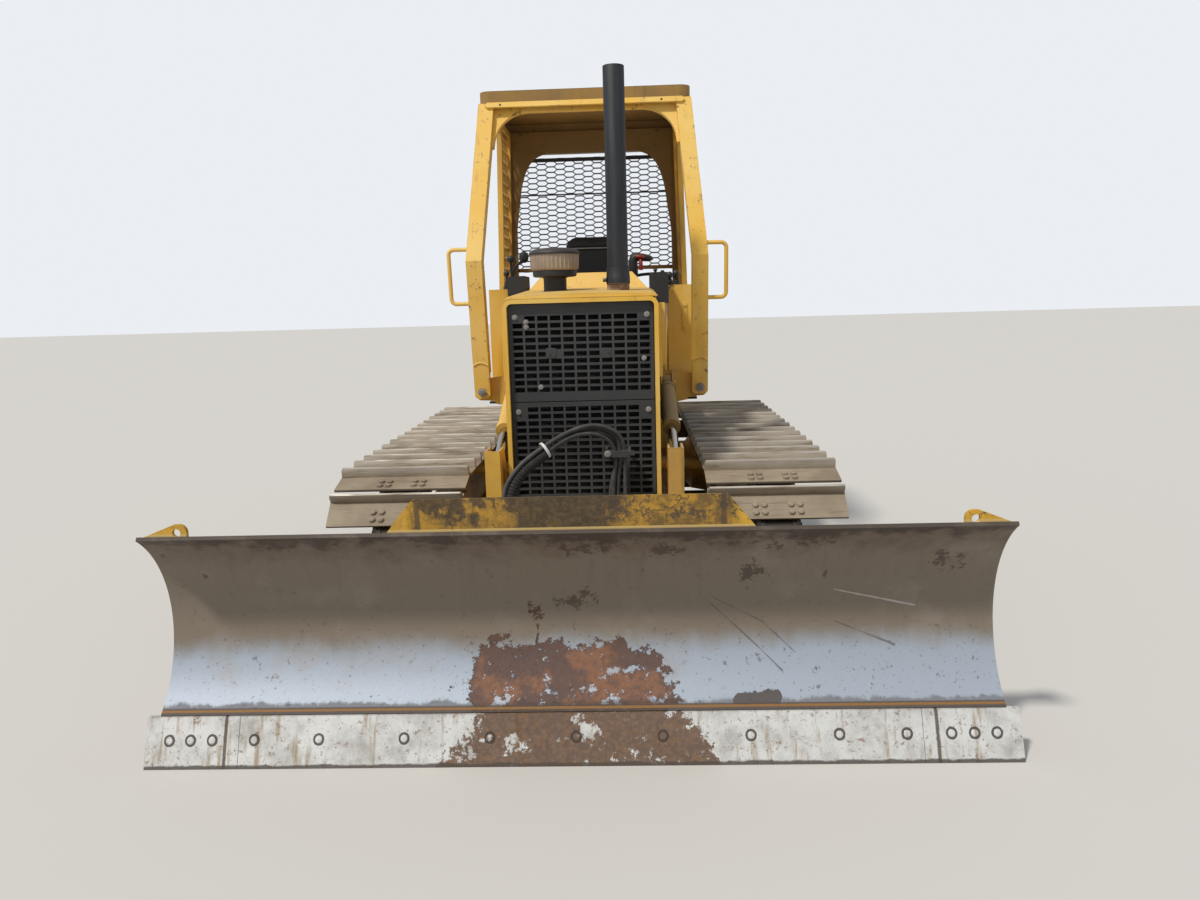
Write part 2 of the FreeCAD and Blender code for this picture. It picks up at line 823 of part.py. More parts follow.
def cowl():
    """Dash housing behind the hood: a trunk up from the frame with a narrower, sloping top."""
    y0, y1 = hood_rear + 2, hood_rear + cowl_depth
    base = shell_top + 30
    waist = floor_z - 10
    body = block(-cowl_base_half, cowl_base_half, y0, y1, beam_top + 0.3, base)
    top = loft([
        [(-cowl_base_half, y0, base), (cowl_base_half, y0, base), (cowl_base_half, y1, base),
         (-cowl_base_half, y1, base)],
        [(-cowl_top_half, y0 + 70, cowl_top), (cowl_top_half, y0 + 70, cowl_top),
         (cowl_top_half, y1, cowl_top - 20), (-cowl_top_half, y1, cowl_top - 20)],
    ])
    mid = block(-frame_half + frame_wall + 1, frame_half - frame_wall - 1, y0, y1, waist,
                beam_top + 0.3)
    shape = fused([body, top, mid])
    hollow = block(-cowl_top_half + 10, cowl_top_half - 10, y1 - 60, y1 + 10, 1500,
                   cowl_top - 60)
    return shape.cut(hollow)


nodes["cowl"] = cowl()


def exhaust_stack():
    """Straight pipe on its silencer, with a clamp sleeve just above the hood."""
    foot = shell_top + hood_sheet
    bore_low = stack_top - bore_depth
    return turned((
        (foot - stack_below, 0), (foot - stack_below, stack_radius), (foot + 32, stack_radius),
        (foot + 32, sleeve_radius), (foot + 128, sleeve_radius), (foot + 128, stack_radius),
        (stack_top, stack_radius), (stack_top, stack_radius - stack_wall),
        (bore_low, stack_radius - stack_wall), (bore_low, 0),
    ), vec(stack_x, stack_y, 0), vec(0, 0, 1))


nodes["exhaust_stack"] = exhaust_stack()

nodes["pre_cleaner"] = turned((
    (cleaner_low, 0), (cleaner_low, cleaner_neck), (bowl_low - 22, cleaner_neck),
    (bowl_low - 22, cleaner_neck + 12), (bowl_low - 2, cleaner_radius - 24),
    (bowl_low, cleaner_radius - 10), (bowl_low + 58, cleaner_radius - 2),
    (bowl_low + 58, cleaner_radius + 8), (bowl_low + 76, cleaner_radius + 8),
    (bowl_low + 92, cleaner_radius - 14), (bowl_low + 100, 40), (bowl_low + 100, 0),
), vec(cleaner_x, cleaner_y, 0), vec(0, 0, 1))


# Platform, consoles, tank and rear case

def floor_platform():
    """Floor sheet on two box sills, with a cross-beam that the rear arch stands on."""
    y0 = beam_rear + 1
    sheet_front = hood_rear + cowl_depth + 1
    sheet = block(-platform_half, platform_half, sheet_front, platform_rear, floor_z,
                  floor_z + floor_sheet)
    sills = []
    for side in (-1, 1):
        x0, x1 = side * (frame_half + 60), side * (arm_out + 20)
        sills.append(block(min(x0, x1), max(x0, x1), y0, platform_rear, floor_z - 110, floor_z))
    sills.append(block(-platform_half, platform_half, platform_rear - 110, platform_rear,
                       floor_z - 60, floor_z))
    carry = []
    top = frame_bottom + frame_height
    for side in (-1, 1):
        x0, x1 = side * frame_half, side * (frame_half - frame_wall)
        carry.append(block(min(x0, x1), max(x0, x1), 400, platform_rear, top, floor_z))
    return fused([sheet] + sills + carry)


nodes["floor_platform"] = floor_platform()


def console(side):
    """Closed side console with a sloping top towards the seat."""
    base = floor_z + floor_sheet
    outline = [(side * console_in, base), (side * console_out, base),
               (side * console_out, console_top), (side * (console_in + 20), console_top),
               (side * console_in, console_top - 60)]
    body = slab(outline, "y", console_front, console_rear)
    return body


nodes["consoles"] = Part.makeCompound([console(1), console(-1)])


def side_box():
    """Closed box on the side of the cowl, with rounded upper edges."""
    inner = cowl_base_half + seat_gap
    outline = [(inner, box_low), (inner + box_width, box_low),
               (inner + box_width, box_high, 18), (inner, box_high, 8)]
    return slab(outline, "y", box_front, box_rear)


nodes["side_boxes"] = both_sides(side_box())


def fuel_tank():
    """Rounded tank across the rear, with a pannier beside each frame rail and a filler neck."""
    low = frame_bottom + frame_height + seat_gap
    side = [(tank_front, floor_z - 40), (tank_front, low, 40), (tank_rear - 60, low, 40),
            (tank_rear, low + 200, 60), (tank_rear, tank_top - 20, 70),
            (tank_front, tank_top, 50)]
    body = slab(side, "x", -tank_half, tank_half)
    pannier = [(tank_front, low + 60), (tank_front, pannier_low, 30),
               (tank_rear - 90, pannier_low, 50), (tank_rear - 70, low + 60)]
    pannier_body = slab(pannier, "x", frame_half + 8, tank_half)
    neck = round_bar(vec(340, tank_rear - 180, tank_top - 40),
                     vec(340, tank_rear - 180, tank_top + 45), 52)
    return fused([body, both_sides(pannier_body), neck])


nodes["fuel_tank"] = fuel_tank()


def rear_case():
    """Transmission case between the final drives, with a flat bolting face for a winch."""
    top = frame_bottom + frame_height
    side = [(frame_rear + 0.5, case_low + 60), (frame_rear + 80, case_low), (case_rear, case_low),
            (case_rear, top + 130), (case_rear - 140, top + 180), (frame_rear + 0.5, top + 180)]
    body = slab(side, "x", -case_half, case_half)
    holes = []
    for x in (-pad_bolt, pad_bolt):
        for z in (pad_z - pad_bolt, pad_z + pad_bolt):
            holes.append(round_bar(vec(x, case_rear - 60, z), vec(x, case_rear + 30, z),
                                   pad_bolt_radius))
    pad = block(-pad_half, pad_half, case_rear, case_rear + 15, pad_z - pad_half,
                pad_z + pad_half)
    slot = block(-drawbar_half - seat_gap, drawbar_half + seat_gap, frame_rear, case_rear + 40,
                 drawbar_z - drawbar_thick / 2 - seat_gap, drawbar_z + drawbar_thick / 2 + seat_gap)
    box = fused([body, pad])
    return box.cut(Part.makeCompound(holes)).cut(slot)


nodes["rear_case"] = rear_case()
bar = slab([(-drawbar_half, case_rear - 180), (drawbar_half, case_rear - 180),
            (drawbar_half, drawbar_y, 55), (-drawbar_half, drawbar_y, 55)], "z",
           drawbar_z - drawbar_thick / 2, drawbar_z + drawbar_thick / 2)
hitch = round_bar(vec(0, hitch_y, drawbar_z - 100), vec(0, hitch_y, drawbar_z + 100),
                  drawbar_hole)
nodes["drawbar"] = bar.cut(hitch)


# Canopy

def post():
    """Front post: a bent box section that stands on the beam and leans back above the knee."""
    table = (
        (post_foot_x, post_foot_y, post_foot_z),
        (post_foot_x + knee_out, knee_y, knee_z),
        (roof_half - post_size / 2 + 4, roof_front + 50, roof_top - roof_deep - seat_gap),
    )
    sections = []
    half = post_size / 2
    for x, y, z in table:
        sections.append([(x - half, y - half, z), (x + half, y - half, z),
                         (x + half, y + half, z), (x - half, y + half, z)])
    foot = slab([(post_foot_x - half, post_foot_z - 38, 22), (post_foot_x + half, post_foot_z - 38, 22),
                 (post_foot_x + half, post_foot_z), (post_foot_x - half, post_foot_z)], "y",
                post_foot_y - half, post_foot_y + half)
    body = fused([loft(sections), foot])
    body = body.cut(block(frame_half, beam_out + 5, beam_front - 10.5, beam_rear, 0, beam_top + 0.5))
    bolt = round_bar(vec(post_foot_x, post_foot_y - half - 14, post_foot_z),
                     vec(post_foot_x, post_foot_y - half, post_foot_z), 20)
    return fused([body, bolt])


def front_arch():
    """Plate with big rounded corners that ties the two leaning posts under the roof."""
    high = roof_top - roof_deep - seat_gap
    side = roof_half - post_size
    low = -260
    outer = [(-side - 34, low), (side + 34, low), (side + 12, 0), (-side - 12, 0)]
    inner = [(-side - 6, low - 1), (side + 6, low - 1), (side - 14, -arch_rail, arch_bend),
             (-side + 14, -arch_rail, arch_bend)]
    plate = slab(outer, "y", -12, 12).cut(slab(inner, "y", -20, 20))
    lean = math.degrees(math.atan2(roof_front + 50 - knee_y, high - knee_z))
    plate.rotate(vec(0, 0, 0), vec(1, 0, 0), -lean)
    plate.translate(vec(0, roof_front + 50, high))
    above = block(-roof_half, roof_half, -100, 300, high, high + 100)
    return plate.cut(above)


def rear_arch():
    """Box-section arch behind the seat with rounded upper corners."""
    foot = floor_z + floor_sheet
    high = roof_top - roof_deep - seat_gap
    outer_half = roof_half + 22
    outer = [(-outer_half, foot), (outer_half, foot), (outer_half - 26, high),
             (-outer_half + 26, high)]
    inner = [(-arch_half, foot - 1), (arch_half, foot - 1),
             (arch_half - 14, arch_opening_top, arch_corner),
             (-arch_half + 14, arch_opening_top, arch_corner)]
    return slab(outer, "y", arch_y, arch_y + arch_sheet).cut(
        slab(inner, "y", arch_y - 5, arch_y + arch_sheet + 5))


left_post = post()
nodes["rops_frame"] = fused([front_arch(), rear_arch(), left_post, mirrored(left_post)])


def roof_panel():
    """Shallow pressed pan, open below, with rounded corners and a rim all round."""
    low = roof_top - roof_deep
    outer = [(-roof_half, roof_front, 60), (roof_half, roof_front, 60),
             (roof_half, roof_rear, 60), (-roof_half, roof_rear, 60)]
    t = roof_sheet
    inner = [(-roof_half + t, roof_front + t, 55), (roof_half - t, roof_front + t, 55),
             (roof_half - t, roof_rear - t, 55), (-roof_half + t, roof_rear - t, 55)]
    return slab(outer, "z", low, roof_top).cut(slab(inner, "z", low - 1, roof_top - t))


nodes["roof_panel"] = roof_panel()


def side_screen():
    """Guard panel of the side opening with a slim post at its front edge."""
    high = roof_top - roof_deep - seat_gap
    x_low, x_high = roof_half + 4, roof_half - 24
    y0, y1 = screen_front, arch_y - 0.5
    sheet = loft([
        [(x_low - screen_sheet, y0, screen_bottom), (x_low, y0, screen_bottom),
         (x_low, y1, screen_bottom), (x_low - screen_sheet, y1, screen_bottom)],
        [(x_high - screen_sheet, y0, high), (x_high, y0, high), (x_high, y1, high),
         (x_high - screen_sheet, y1, high)],
    ])
    slim = 30.0
    post_low = loft([
        [(x_low - slim, y0 - slim, screen_bottom - 60), (x_low, y0 - slim, screen_bottom - 60),
         (x_low, y0, screen_bottom - 60), (x_low - slim, y0, screen_bottom - 60)],
        [(x_high - slim, y0 - slim, high), (x_high, y0 - slim, high), (x_high, y0, high),
         (x_high - slim, y0, high)],
    ])
    rail = block(x_low - slim, x_low, y0 - slim, y1, screen_bottom - 60, screen_bottom)
    return fused([sheet, post_low, rail])


nodes["side_screens"] = both_sides(side_screen())

screen_y = arch_y + arch_sheet
nodes["rear_screen"] = slab([
    (-arch_half - 20, rear_screen_bottom), (arch_half + 20, rear_screen_bottom),
    (arch_half + 6, arch_opening_top - 20, 120), (-arch_half - 6, arch_opening_top - 20, 120),
], "y", screen_y, screen_y + screen_sheet)


def post_face(z):
    """Outer face of the front post at a height, as a distance from the middle plane."""
    if z <= knee_z:
        share = (z - post_foot_z) / (knee_z - post_foot_z)
        return post_foot_x + post_size / 2 + knee_out * share
    share = (z - knee_z) / (roof_top - roof_deep - seat_gap - knee_z)
    knee_x = post_foot_x + knee_out
    head_x = roof_half - post_size / 2 + 4
    return knee_x + (head_x - knee_x) * share + post_size / 2


def grab_handle():
    """Bent tube on the outer face of the front post: two short arms and a long grip."""
    outer = post_foot_x + post_size / 2 + handle_reach
    lean = (knee_y - post_foot_y) / (knee_z - post_foot_z)
    ends = []
    for z in (handle_low, handle_high):
        y = post_foot_y + lean * (min(z, knee_z) - post_foot_z)
        ends.append((y, z))
    bend = 28.0
    inner_low = post_face(handle_low + handle_radius) + seat_gap
    inner_high = post_face(handle_high - handle_radius) + seat_gap
    y0, y1 = ends[0][0], ends[1][0]
    corner_low = vec(outer, y0, handle_low)
    corner_high = vec(outer, y1, handle_high)
    start, end = vec(inner_low, y0, handle_low), vec(inner_high, y1, handle_high)
    grip = (corner_high - corner_low).normalize()
    edges = []
    k = bend * (1 - math.sqrt(0.5))
    edges.append(Part.LineSegment(start, corner_low - vec(bend, 0, 0)).toShape())
    mid_low = corner_low + vec(-k, 0, 0) + grip * k
    edges.append(Part.Arc(corner_low - vec(bend, 0, 0), mid_low, corner_low + grip * bend).toShape())
    edges.append(Part.LineSegment(corner_low + grip * bend, corner_high - grip * bend).toShape())
    mid_high = corner_high + vec(-k, 0, 0) - grip * k
    edges.append(Part.Arc(corner_high - grip * bend, mid_high, corner_high - vec(bend, 0, 0)).toShape())
    edges.append(Part.LineSegment(corner_high - vec(bend, 0, 0), end).toShape())
    path = Part.Wire(edges)
    section = Part.Wire(Part.makeCircle(handle_radius, start, vec(1, 0, 0)))
    return path.makePipeShell([section], True, False)


nodes["grab_handles"] = both_sides(grab_handle())


# Seat and controls

base = floor_z + floor_sheet
nodes["seat_frame"] = fused([
    block(-170, 170, seat_y - 180, seat_y + 190, base, base + 60),
    slab([(seat_y - 130, base + 60), (seat_y + 150, base + 60), (seat_y + 190, cushion_low - 24),
          (seat_y - 190, cushion_low - 24)], "x", -140, 140),
    block(-seat_half + 15, seat_half - 15, seat_y - seat_depth / 2 + 15,
          seat_y + seat_depth / 2 + 30, cushion_low - 24, cushion_low - 0.5),
    slab([(seat_y + seat_depth / 2 - 5, cushion_low - 24), (seat_y + seat_depth / 2 + 30,
          cushion_low - 24), (seat_y + seat_depth / 2 + 92, seat_back_top - 160),
          (seat_y + seat_depth / 2 + 74, seat_back_top - 160)], "x", -150, 150),
])
cushion = slab([(-seat_half, seat_y - seat_depth / 2, 60), (seat_half, seat_y - seat_depth / 2, 60),
                (seat_half - 10, seat_y + seat_depth / 2 - 30, 30),
                (-seat_half + 10, seat_y + seat_depth / 2 - 30, 30)], "z", cushion_low,
               cushion_high)
nodes["seat_cushion"] = cushion
lean_back = 5.2
back_y = seat_y + seat_depth / 2 - 112
nodes["seat_back"] = slab([
    (-seat_half + 10, cushion_high + 8, 40), (seat_half - 10, cushion_high + 8, 40),
    (seat_half - 20, 1760, 60), (seat_back_half, seat_back_top, 90),
    (-seat_back_half, seat_back_top, 90), (-seat_half + 20, 1760, 60),
], "y", back_y, back_y + 92)
nodes["seat_back"].rotate(vec(0, back_y, cushion_high), vec(1, 0, 0), -lean_back)


def lever(x, y, height, lean, knob):
    """Straight stalk on the console with a knob on top."""
    top = vec(x, y - lean, console_top + height)
    stalk = round_bar(vec(x, y, console_top - 5), top, 7)
    below = block(x - 50, x + 50, y - 50, y + 50, console_top - 50, console_top)
    return fused([stalk, Part.makeSphere(knob, top)]).cut(below)


lever_table = (
    # x, y, height, forward lean, knob radius
    (456, 170, 56, 10, 20),
    (496, 250, 66, 16, 20),
    (-458, 200, 172, 20, 22),
    (-505, 330, 95, 10, 18),
)
nodes["control_levers"] = Part.makeCompound([lever(*row) for row in lever_table])


# Hoses to the blade, with their clamp on the front of the radiator shell

def tube_along(points, radius):
    """Tube on straight runs joined by the largest tangent arcs that the runs leave room for."""
    edges = []
    last = vec(*points[0])
    for i in range(1, len(points) - 1):
        before, here, after = vec(*points[i - 1]), vec(*points[i]), vec(*points[i + 1])
        a = (before - here).normalize()
        b = (after - here).normalize()
        half = a.getAngle(b) / 2
        reach = 0.45 * min((before - here).Length, (after - here).Length)
        bend = reach * math.tan(half)
        middle = (a + b).normalize()
        edges.append(Part.LineSegment(last, here + a * reach).toShape())
        tip = here + middle * (bend / math.sin(half) - bend)
        edges.append(Part.Arc(here + a * reach, tip, here + b * reach).toShape())
        print("hose bend radius %.0f mm at point %d" % (bend, i))
        last = here + b * reach
    edges.append(Part.LineSegment(last, vec(*points[-1])).toShape())
    path = Part.Wire(edges)
    start = vec(*points[0])
    section = Part.Wire(Part.makeCircle(radius, start, vec(*points[1]) - start))
    body = path.makePipeShell([section], True, False)
    print("hose length %.0f mm, volume %.4f of section times length"
          % (path.Length, body.Volume / (math.pi * radius ** 2 * path.Length)))
    return body


hose_route = (
    # x, y, z from the shelf under the grille to the boss on the push frame
    (hose_port_x, -1064, hose_port_z), (hose_port_x, -1064, 640), (155, -1068, 790),
    (162, -1076, 930),
    (136, -1092, 1020), (48, -1124, 1066), (-62, -1168, 1046), (-170, -1228, 975),
    (-272, -1285, 888), (-338, -1318, 772), (hose_end_x, hose_end_y, 630),
    (hose_end_x, hose_end_y, arm_high + hose_boss),
)
nodes["hoses"] = tube_along(hose_route, hose_radius)
clamp_bar = block(clamp_x - clamp_half, clamp_x + clamp_half, clamp_y,
                  shell_front + grille_recess - seat_gap, clamp_z - 15, clamp_z + 15)
clamp_gap = block(clamp_x - clamp_half + 10, clamp_x + clamp_half - 10, clamp_y + 62,
                  shell_front + grille_recess + 1, clamp_z - 20, clamp_z + 20)
nodes["hose_clamp"] = clamp_bar.cut(clamp_gap).cut(tube_along(hose_route, hose_radius + seat_gap))


# Push frame

def arm_side():
    """One arm: box section from the rear pivot, bent in at the front to the nose."""
    plan = [(arm_in, pivot_y), (arm_in, arm_front + 40), (nose_half - 60, yoke_y + 160),
            (nose_half, yoke_y + 60), (arm_out, arm_front - 20), (arm_out, pivot_y)]
    arm = slab(plan, "z", arm_low, arm_high)
    end = round_bar(vec(arm_in, pivot_y, pivot_z), vec(arm_out, pivot_y, pivot_z), 105)
    bore = round_bar(vec(arm_in - 5, pivot_y, pivot_z), vec(arm_out + 5, pivot_y, pivot_z),
                     pivot_pin + pin_clear)
    return fused([arm, end]).cut(bore)


def tower(side):
    """Open-backed tower on the arm: two cheeks round the rod's eye and a front plate."""
    parts = []
    middle = side * tower_x
    for edge in (-1, 1):
        x = middle + edge * ((eye_width / 2 + side_clear) + tower_plate / 2)
        cheek = [(tower_front, arm_high - 10), (tower_front, tower_top), (tower_front + 120, tower_top),
                 (lift_eye_y + 70, lift_eye_z), (lift_eye_y + 150, arm_high - 10)]
        parts.append(slab(cheek, "x", x - tower_plate / 2, x + tower_plate / 2))
        head_x = x + edge * tower_plate / 2
        parts.append(round_bar(vec(head_x, lift_eye_y, lift_eye_z),
                               vec(head_x + edge * tower_head, lift_eye_y, lift_eye_z), 26))
    half = (eye_width / 2 + side_clear) + tower_plate
    parts.append(block(middle - half, middle + half, tower_front - tower_plate, tower_front,
                       arm_high - 10, tower_top))
    return fused(parts)


def nose():
    """Fork at the front: an upper and a lower plate round the yoke's tongue, with a pin."""
    gap = yoke_tongue / 2 + side_clear
    parts = []
    for up in (-1, 1):
        z0 = yoke_z + up * gap
        z1 = yoke_z + up * (gap + nose_plate)
        plan = [(-nose_half, yoke_y + 260), (-nose_half, yoke_y - 60, 70),
                (nose_half, yoke_y - 60, 70), (nose_half, yoke_y + 260)]
        parts.append(slab(plan, "z", min(z0, z1), max(z0, z1)))
    pin_half = gap + nose_plate + 14
    parts.append(round_bar(vec(0, yoke_y, yoke_z - pin_half), vec(0, yoke_y, yoke_z + pin_half),
                           yoke_pin))
    return fused(parts)


def angle_lug(side):
    """Pair of plates on the arm's outer face for the angle cylinder's rear eye."""
    parts = []
    for up in (-1, 1):
        z0 = yoke_z + up * (eye_width / 2 + side_clear)
        z1 = z0 + up * 14
        x0, x1 = side * (arm_out - 2), side * (angle_base_x + 34)
        parts.append(slab([(x0, angle_base_y - 60), (x1, angle_base_y - 40, 30),
                           (x1, angle_base_y + 40, 30), (x0, angle_base_y + 60)], "z",
                          min(z0, z1), max(z0, z1)))
    pin = round_bar(vec(side * angle_base_x, angle_base_y, yoke_z - 48),
                    vec(side * angle_base_x, angle_base_y, yoke_z + 48), 17)
    return fused(parts + [pin])


arm_left = arm_side()
arms = fused([arm_left, mirrored(arm_left)]).cut(
    block(-nose_half - 80, nose_half + 80, yoke_y - 200, yoke_y + 125, 0, 1000))
hose_gland = round_bar(vec(hose_end_x, hose_end_y, arm_high - 5),
                       vec(hose_end_x, hose_end_y, arm_high + hose_boss), hose_radius + 8)
nodes["c_frame"] = fused([
    hose_gland, arms, nose(), tower(1), tower(-1), angle_lug(1), angle_lug(-1),
])


# Yoke between push frame and blade

def yoke():
    """Swivel casting: a tongue on the nose pin, a cross arm with ears, and a tilt tower."""
    front = yoke_front
    back = yoke_y - 66
    tongue = slab([(-80, back - 10), (-80, yoke_y + 80, 79), (80, yoke_y + 80, 79),
                   (80, back - 10)], "z", yoke_z - yoke_tongue / 2, yoke_z + yoke_tongue / 2)
    tongue = tongue.cut(round_bar(vec(0, yoke_y, 0), vec(0, yoke_y, 1000), yoke_pin + pin_clear))
    bar = block(-angle_eye_x + 55, angle_eye_x - 55, front, back, yoke_z - 55, yoke_z + 55)
    parts = [tongue, bar]
    for side in (-1, 1):
        for up in (-1, 1):
            z0 = yoke_z + up * (eye_width / 2 + side_clear)
            z1 = z0 + up * 16
            x0, x1 = side * (angle_eye_x - 120), side * (angle_eye_x + 44)
            parts.append(slab([(x0, front), (x1, front + 8, 20), (x1, angle_eye_y + 50, 40),
                               (x0, back)], "z", min(z0, z1), max(z0, z1)))
            head = z1 + up * 12
            parts.append(round_bar(vec(side * angle_eye_x, angle_eye_y, z1),
                                   vec(side * angle_eye_x, angle_eye_y, head), 24))
    clear = Part.makeCompound([
        block(side * angle_eye_x - 85, side * angle_eye_x + 85, front - 5, back + 5,
              yoke_z - eye_width / 2 - side_clear, yoke_z + eye_width / 2 + side_clear)
        for side in (-1, 1)])
    body = fused(parts).cut(clear)
    pin = round_bar(vec(0, front - tilt_pin_long, tilt_pin_z), vec(0, front + 20, tilt_pin_z),
                    tilt_pin)
    mast = [(tilt_base_x - 60, yoke_z + 40), (tilt_base_x - 44, tilt_base_z + 40, 36),
            (tilt_base_x + 44, tilt_base_z + 40, 36), (tilt_base_x + 110, yoke_z + 40)]
    plates = []
    for y0, y1 in ((front, front + 14), (front + 14 + eye_width + 2 * side_clear,
                                         front + 28 + eye_width + 2 * side_clear)):
        plates.append(slab(mast, "y", y0, y1))
    base_pin = round_bar(vec(tilt_base_x, front - 8, tilt_base_z),
                         vec(tilt_base_x, front + 36 + eye_width + 2 * side_clear, tilt_base_z),
                         17)
    return fused([body, pin, base_pin] + plates)


nodes["blade_yoke"] = yoke()


# Blade

low_edge = vec(0, edge_top_y + 8, edge_top_z + 4)
top_edge = vec(0, board_top_y, board_top_z)
chord = top_edge - low_edge
middle = (low_edge + top_edge) * 0.5
inward = vec(0, chord.z, -chord.y).normalize()
bowl_radius = chord.Length ** 2 / (8 * bowl_depth) + bowl_depth / 2
bowl_centre = middle + inward * (bowl_depth - bowl_radius)


def arc_edge(radius):
    start = bowl_centre + (low_edge - bowl_centre).normalize() * radius
    end = bowl_centre + (top_edge - bowl_centre).normalize() * radius
    deep = bowl_centre + inward * radius
    return start, deep, end


def moldboard():
    """Rolled plate: a ring sector between two arcs with the bowl's centre, over the full width."""
    a0, a1, a2 = arc_edge(bowl_radius)
    b0, b1, b2 = arc_edge(bowl_radius + board_sheet)
    edges = [Part.Arc(a0, a1, a2).toShape(), Part.LineSegment(a2, b2).toShape(),
             Part.Arc(b2, b1, b0).toShape(), Part.LineSegment(b0, a0).toShape()]
    face = Part.Face(Part.Wire(edges))
    face.translate(vec(-blade_half, 0, 0))
    return face.extrude(vec(2 * blade_half, 0, 0))


nodes["moldboard"] = moldboard()
inside = Part.makeCylinder(bowl_radius + board_sheet + 0.3, 2 * bits_half + 100,
                           vec(-bits_half - 50, bowl_centre.y, bowl_centre.z), vec(1, 0, 0))


def blade_back():
    """Welded back: lower and upper box rails, ribs, end plates, tilt socket and cylinder lug."""
    parts = []
    rail_back = rib_back_y - 33
    lower_box = [(edge_top_y - 24, rail_foot), (edge_top_y + 92, rail_foot + 30),
                 (rail_back, rail_foot + 136), (rail_back, rail_top), (edge_top_y + 22, rail_top)]
    upper_box = [(board_top_y + 10, board_top_z - 8), (board_top_y + 95, board_top_z - 60),
                 (board_top_y + 155, board_top_z - 140), (board_top_y + 5, board_top_z - 200)]
    parts.append(slab(lower_box, "x", -blade_half + 1, blade_half - 1))
    parts.append(slab(upper_box, "x", -blade_half + 1, blade_half - 1))
    rib = [(edge_top_y + 2, rail_top - 80), (rail_back, rail_top - 90), (rib_back_y, rail_top + 50),
           (rib_back_y, board_top_z - 240), (rib_back_y - 88, board_top_z - 120),
           (edge_top_y + 2, board_top_z - 80)]
    for from_end in rib_places:
        for x in (from_end - blade_half, blade_half - from_end):
            parts.append(slab(rib, "x", x - 8, x + 8))
    for x in (-tilt_eye_x + 20, -110, 110, tilt_eye_x - 20):
        parts.append(slab(rib, "x", x - 12, x + 12))
    end_plate = [(edge_top_y - 3, edge_top_z - 18), (rib_back_y - 88, edge_top_z - 8),
                 (rib_back_y - 28, rail_top - 30), (rib_back_y - 8, board_top_z - 320),
                 (rib_back_y - 78, board_top_z - 100), (board_top_y + 6, board_top_z)]
    for side in (-1, 1):
        x0, x1 = side * (blade_half - 14), side * (blade_half - 1)
        parts.append(slab(end_plate, "x", min(x0, x1), max(x0, x1)))
    socket = round_bar(vec(0, rib_back_y - 58, tilt_pin_z), vec(0, yoke_front - 6, tilt_pin_z), 96)
    parts.append(socket)
    body = fused(parts)
    lug_back = tilt_y + eye_width / 2 + side_clear
    lug_root = rib_back_y - 108
    for y0, y1 in ((tilt_y - eye_width / 2 - side_clear - 14, tilt_y - eye_width / 2 - side_clear),
                   (lug_back, lug_back + 14)):
        lug = slab([(tilt_eye_x - 44, tilt_eye_z - 44, 40), (tilt_eye_x + 44, tilt_eye_z - 44, 30),
                    (tilt_eye_x + 44, tilt_eye_z + 44, 40), (tilt_eye_x - 44, tilt_eye_z + 44, 40)],
                   "y", y0, y1)
        body = body.fuse(lug)
    carry = block(tilt_eye_x + 90, tilt_eye_x + 106, lug_root, lug_back + 14, tilt_eye_z - 60,
                  tilt_eye_z + 40)
    for y0, y1 in ((tilt_y - eye_width / 2 - side_clear - 14, tilt_y - eye_width / 2 - side_clear),
                   (lug_back, lug_back + 14)):
        carry = carry.fuse(block(tilt_eye_x + 20, tilt_eye_x + 106, y0, y1, tilt_eye_z - 40,
                                 tilt_eye_z + 40))
    front_face = tilt_y - eye_width / 2 - side_clear - 14
    carry = carry.fuse(block(tilt_eye_x - 44, tilt_eye_x + 106, lug_root, front_face,
                             tilt_eye_z - 60, tilt_eye_z - 44))
    carry = carry.fuse(block(tilt_eye_x - 44, tilt_eye_x + 106, front_face, front_face + 14,
                             tilt_eye_z - 60, tilt_eye_z))
    body = body.fuse(carry)
    bore = round_bar(vec(0, rib_back_y - 18, tilt_pin_z), vec(0, yoke_front, tilt_pin_z),
                     tilt_pin + pin_clear)
    body = body.cut(bore).cut(inside)
    edge_back = [(edge_tip_y, 0), (edge_tip_y + edge_sheet, 0),
                 (edge_top_y + edge_sheet, edge_top_z), (edge_top_y, edge_top_z)]
    near = 0.3
    slot = [(y + (near if i in (1, 2) else -60), z + (near if i > 1 else -near))
            for i, (y, z) in enumerate(edge_back)]
    return body.cut(slab(slot, "x", -bits_half - 5, bits_half + 5)).removeSplitter()


nodes["blade_back"] = blade_back()


def top_guard():
    """Spill plate on the middle of the top edge, with side gussets folded back."""
    z0 = board_top_z - 30
    y = board_top_y + 16
    plate = slab([(-guard_foot_half, z0), (guard_foot_half, z0), (guard_foot_half, board_top_z + 10),
                  (guard_top_half, guard_plate_top), (-guard_top_half, guard_plate_top),
                  (-guard_foot_half, board_top_z + 10)], "y", y, y + guard_sheet)
    parts = [plate]
    for side in (-1, 1):
        gusset = slab([(y + guard_sheet, z0 + 20), (y + guard_sheet + 70, z0 - 10),
                       (y + guard_sheet + 6, guard_plate_top - 10)], "x", 0, 12)
        gusset.translate(vec(side * (guard_top_half - 30) - 6, 0, 0))
        parts.append(gusset)
    for side in (-1, 1):
        outline = [(side * (eye_plate_x - 36), eye_plate_z - 60),
                   (side * (blade_half - lug_end), eye_plate_z - 60),
                   (side * (blade_half - lug_end), eye_plate_z - 14, 6),
                   (side * (eye_plate_x + 8), eye_plate_z + 30, 16),
                   (side * (eye_plate_x - 36), eye_plate_z + 30, 28)]
        plate = slab(outline, "y", y, y + guard_sheet + 4)
        hole = round_bar(vec(side * eye_plate_x, y - 5, eye_plate_z),
                         vec(side * eye_plate_x, y + 40, eye_plate_z), eye_plate_hole)
        parts.append(plate.cut(hole))
    whole = Part.makeCompound(parts[3:])
    middle = fused(parts[:3])
    seat = nodes["blade_back"]
    wall = Part.makeCompound([middle, whole]).cut(inside)
    return wall.cut(seat)


nodes["top_guard"] = top_guard()


